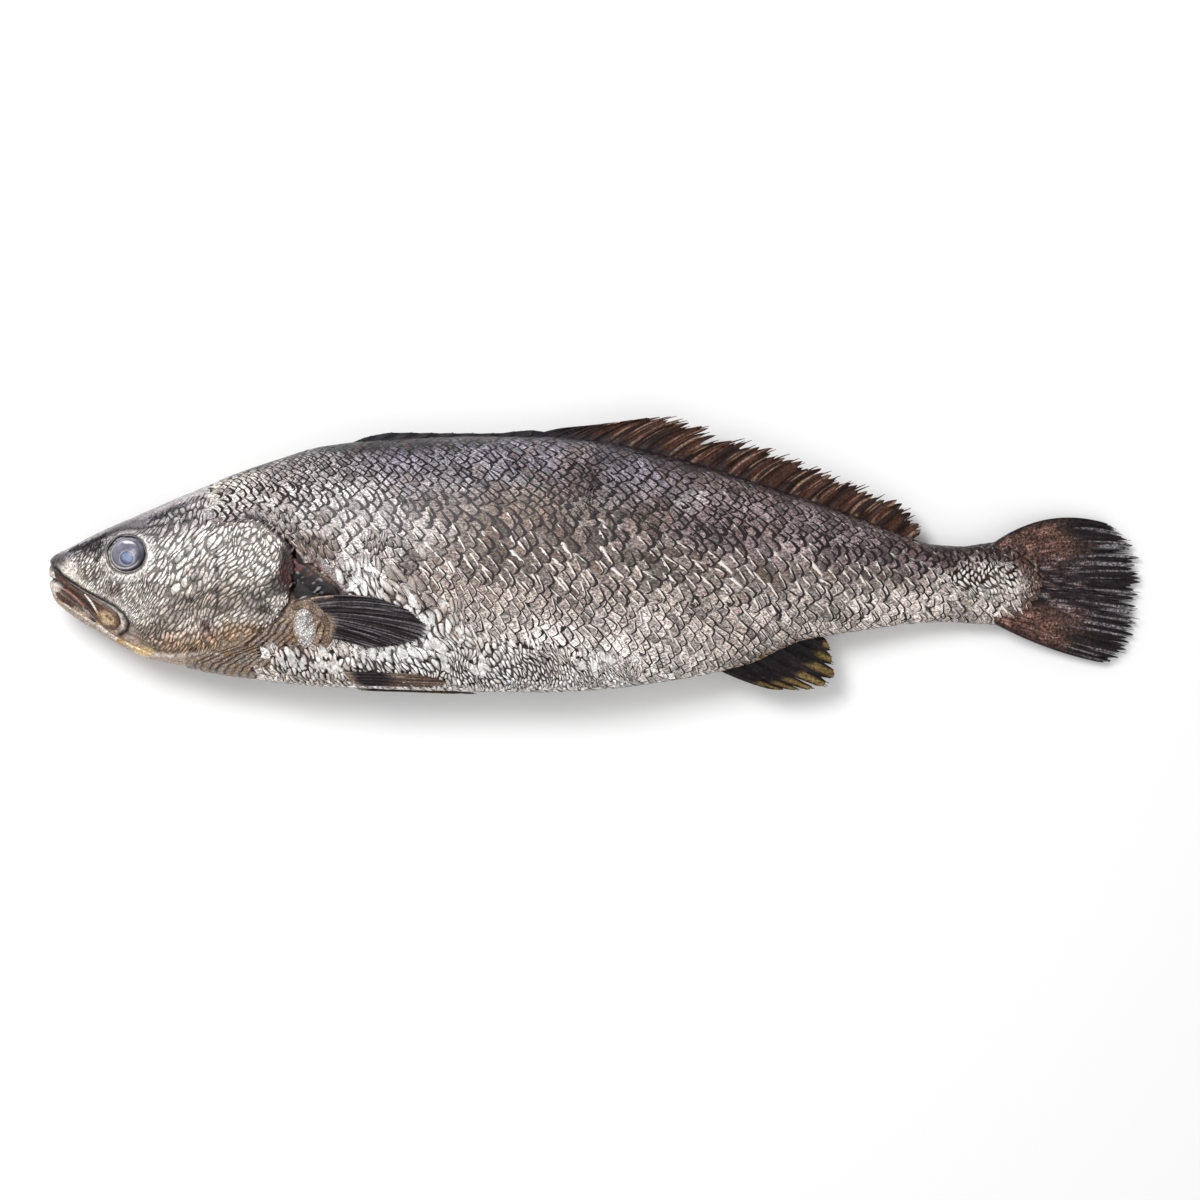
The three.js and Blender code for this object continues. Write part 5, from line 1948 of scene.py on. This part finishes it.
def add_anal():
    fin = Fin(
        "anal", [(366, -61.5), (386, -58), (400, -51.5), (410, -46.5), (424, -42.5)],
        [
            (400, -73.8), (412, -74), (422, -73.4), (431, -70.5), (433.5, -64), (432, -58), (431, -52),
            (428, -46),
        ],
        7, on_middle, web=0.95, bow=-0.12, fray=0.02, tooth=0.08, strands=4, split=0.35, clump=0.75,
        shaft=1.1, tip=0.42, root_wall=3.4, wall=0.9, pleat=0.5, seed=6,
        slits=[
            (2 / 7, 0.012, 0.1), (3 / 7, 0.018, 0.3), (4 / 7, 0.012, 0.1), (5 / 7, 0.012, 0.12),
            (6 / 7, 0.012, 0.08),
        ],
    )

    def web_tone(share, reach, points, luck=0):
        across = np.abs((share * 7) % 1 - 0.5) * 2
        gold = blend("amber", tone("yellow") * 0.5, 0.5 * lumps(points, 3, 78, 0.2, 0.7))
        outer = smooth(reach + 0.12 * cloud(points, 4, 77), 0.5, 0.68)
        shown = outer * (1 - smooth(across, 0.3, 0.6)) * (1 - smooth(reach, 0.9, 1.02))
        dark = streaked(tone("tail") * 0.3, tone("tail") * 1.2, share, reach, 40, 79)
        return blend(dark, gold * 0.85, shown * 0.9)

    add_fin(fin, web_tone, web_tone)


class CROAKER_OT_median_fins(bpy.types.Operator):
    """Adds both dorsal fins, the tail fin and the anal fin"""

    bl_idname = "croaker.median_fins"
    bl_label = "Middle fins"

    def execute(self, context):
        add_dorsal()
        add_spines()
        add_tail()
        add_anal()
        return {"FINISHED"}


def add_breast(label, side):
    fin = Fin(
        f"breast_{label}", [(146, -22.5), (152, -28), (157, -36), (156, -44)],
        [(184, -23.5), (198, -28.5), (207, -34.5), (211, -39.5), (208, -44.5), (196, -49), (178, -50)],
        11, against_side(side, 1.9), web=0.97, bow=lambda share: 0.2 - 0.16 * share, fray=0.03, teeth=30,
        tooth=0.07, strands=4, split=0.3, shaft=0.7, tip=0.24, clump=0.95, root_wall=2.4, wall=0.8,
        pleat=0.3, seed=7, out=side,
    )

    def web_tone(share, reach, points, luck=0.0):
        colour = streaked(tone("paired") * 0.6, tone("streak") * 0.42, share, reach, 74, 81, 0.8)
        return blend(colour, tone("jaw") * 0.5, (1 - smooth(reach, 0.0, 0.1)) * smooth(share, 0.4, 0.6))

    def ray_tone(share, reach, points, luck):
        pale = 0.14 * smooth(luck, 0.5, 1) * smooth(reach, 0.1, 0.3)
        colour = blend(web_tone(share, reach, points), "streak", pale)
        leading = (1 - smooth(share, 0.03, 0.09)) * (1 - smooth(reach, 0.55, 0.8))
        return blend(colour, tone("ray") * 0.9, 0.85 * leading)

    add_fin(fin, web_tone, ray_tone)


def add_belly(label, side):
    if side > 0:
        root = [(163, -62.5), (166, -66.5), (170, -70.5)]
        tips = [(204, -64.2), (214, -66.6), (222, -69.4), (208, -71.4)]
    else:
        root = [(164, -70), (168, -72), (172, -73.4)]
        tips = [(238, -75.6), (230, -75.4), (218, -75.2)]
    fin = Fin(
        f"belly_{label}", root, tips, 5, against_side(side, 1.6), web=0.97, fray=0.02, tooth=0.05, strands=3,
        split=0.4, shaft=0.8, tip=0.28, clump=0.9, root_wall=2.4, wall=0.8, pleat=0.3, seed=8, out=side,
    )

    def fin_tone(share, reach, points, luck=0.0):
        colour = streaked(tone("maxilla") * 0.7, tone("jaw") * 0.6, share, reach, 16, 83, 0.8)
        colour = blend(tone("tail") * 0.6, colour, smooth(reach + 0.25 * (share - 0.5), 0.35, 0.6))
        colour = blend(colour, tone("amber") * 0.8, 0.4 * smooth(share, 0.7, 0.9) * smooth(reach, 0.5, 0.7))
        return blend(tone("jaw") * 0.6, colour, smooth(reach + 0.05 * cloud(points, 4, 84), 0.02, 0.1))

    add_fin(fin, fin_tone, fin_tone)


class CROAKER_OT_paired_fins(bpy.types.Operator):
    """Adds the breast fins against the sides and the belly fins folded along the keel"""

    bl_idname = "croaker.paired_fins"
    bl_label = "Paired fins"

    def execute(self, context):
        for label, side in SIDES.items():
            add_breast(label, side)
            add_belly(label, side)
        return {"FINISHED"}


# ---- Loose scales ----

# Places where shed scales stick to the belly: station, level, reach along and up, and how many.
SHED = [
    (133, -56, 8, 4, 6), (155, -57, 8, 5, 8), (186, -52, 16, 5, 9), (207, -36, 9, 13, 12), (197, -24, 9, 7, 5),
    (218, -50, 12, 9, 9), (300, -58, 9, 6, 7), (172, -13, 11, 9, 7), (240, -61, 22, 5, 6),
]


class CROAKER_OT_shed(bpy.types.Operator):
    """Scatters whitened scales that have come loose on the belly and shoulder"""

    bl_idname = "croaker.shed"
    bl_label = "Loose scales"

    def execute(self, context):
        along, across, faces = model_scale()
        for number, (label, side) in enumerate(SIDES.items()):
            random = np.random.default_rng(sizes().seed + 80 + number)
            spread = [
                random.normal(0, 0.6, (count, 2)) * (reach, up) + (station, level)
                for station, level, reach, up, count in SHED
            ]
            places = np.vstack(spread)
            count = len(places)
            length = random.uniform(5.5, 10, (count, 1))
            width = length * random.uniform(0.17, 0.27, (count, 1))
            angle = np.radians(random.normal(-60, 24, (count, 1)))
            x = length * (along - 0.5)
            y = width * across * np.interp(along, SCALE_ROWS, [0.2, 1, 0.9, 0.55, 0.12])
            y = y + random.normal(0, 0.02, (count, 1)) * x**2
            aside, up = turned(x, y, angle)
            station, level = places[:, :1] + aside, places[:, 1:] + up
            curl = random.uniform(0, 0.6, (count, 1))
            lift = 0.8 + curl * along**2 + 0.3 * (1 - across**2) * np.sin(math.pi * along)
            points = lifted(station, on_side(turn_for(station, level), side), np.clip(lift, 0, 1.5))
            piece = join_copies(f"loose_scales_{label}", faces, points, side)
            # Painted shadow: each loose scale is painted dark along its edge.
            rim = np.maximum(np.abs(across) > 0.9, (along < 0.1) | (along > 0.95))
            shade = random.uniform(0.75, 1.05, (count, 1, 1)) * (1 - 0.75 * rim)[None, :, None]
            paint(piece.data, (tone("pale") * shade).reshape(-1, 3))
            complete(piece, "shard")
        return {"FINISHED"}


# ---- Stage ----

CAMERA_LENS = 100
CAMERA_SENSOR = 36
CAMERA_REACH = 20
# Height of the fish's middle, from which the camera's height counts.
FISH_MIDDLE = 0.031


class CROAKER_OT_stage(bpy.types.Operator):
    """Adds the floor, the soft lights and the camera that looks straight down on the fish"""

    bl_idname = "croaker.stage"
    bl_label = "Stage"

    def execute(self, context):
        stage = context.scene.croaker_stage
        floor = start(bpy.ops.mesh.primitive_grid_add, "floor", x_subdivisions=8, y_subdivisions=8, size=1)
        place_vertices(floor.data, coordinates(floor.data) * (stage.floor_size, stage.floor_size, 0))
        material, tree = blank_material("stage floor")
        end_material(tree, {"Base Color": (0.9, 0.9, 0.9, 1), "Roughness": 0.9, "Specular IOR Level": 0.1})
        floor.data.materials.append(material)
        self.light("key", (-0.5, 0.55, 1.3), stage.key_power, 0.6)
        self.light("fill", (0.5, -0.9, 1.1), stage.fill_power, 1.6)
        self.light("top", (0.0, -0.1, 1.9), stage.fill_power, 1.4)
        world = bpy.data.worlds.new("even light")
        world.use_nodes = True
        light = world.node_tree.nodes["Background"].inputs
        light["Color"].default_value, light["Strength"].default_value = (1, 1, 1, 1), stage.surround
        context.scene.world = world
        context.scene.view_settings.view_transform = "Standard"
        context.scene.view_settings.look = "None"
        bpy.ops.object.camera_add(
            location=(stage.camera_across, stage.camera_up, stage.camera_height + FISH_MIDDLE), rotation=(0, 0, 0),
        )
        camera = context.active_object
        camera.data.lens = CAMERA_LENS
        camera.data.sensor_width = CAMERA_SENSOR
        camera.data.clip_end = CAMERA_REACH
        context.scene.camera = camera
        return {"FINISHED"}

    def light(self, name, place, power, size):
        bpy.ops.object.light_add(type="AREA", location=place)
        lamp = bpy.context.active_object
        lamp.name = name
        lamp.data.energy = power
        lamp.data.size = size
        lamp.rotation_mode = "QUATERNION"
        lamp.rotation_quaternion = Vector(place).to_track_quat("Z", "Y")


# ---- Panel and running ----

STEPS = (
    CROAKER_OT_head, CROAKER_OT_cheeks, CROAKER_OT_trunk, CROAKER_OT_scales, CROAKER_OT_eyes,
    CROAKER_OT_jaws, CROAKER_OT_gills, CROAKER_OT_median_fins, CROAKER_OT_paired_fins, CROAKER_OT_shed,
    CROAKER_OT_stage,
)


class CROAKER_PT_panel(bpy.types.Panel):
    """Lists the fish's settings and the steps that build it"""

    bl_idname = "CROAKER_PT_panel"
    bl_label = "Whole raw croaker"
    bl_space_type = "VIEW_3D"
    bl_region_type = "UI"
    bl_category = "Croaker"

    def draw(self, context):
        for group in (context.scene.croaker_sizes, context.scene.croaker_tones, context.scene.croaker_stage):
            column = self.layout.column(align=True)
            for key in group.__annotations__:
                column.prop(group, key)
        for step in STEPS:
            self.layout.operator(step.bl_idname)


GROUPS = {"croaker_sizes": CroakerSizes, "croaker_tones": CroakerTones, "croaker_stage": CroakerStage}
CLASSES = (*GROUPS.values(), *STEPS, CROAKER_PT_panel)


def register():
    for each in CLASSES:
        bpy.utils.register_class(each)
    for name, group in GROUPS.items():
        setattr(bpy.types.Scene, name, bpy.props.PointerProperty(type=group))


def unregister():
    for name in GROUPS:
        delattr(bpy.types.Scene, name)
    for each in reversed(CLASSES):
        bpy.utils.unregister_class(each)


def main():
    register()
    for step in STEPS:
        family, name = step.bl_idname.split(".")
        getattr(getattr(bpy.ops, family), name)()


if __name__ == "__main__":
    main()
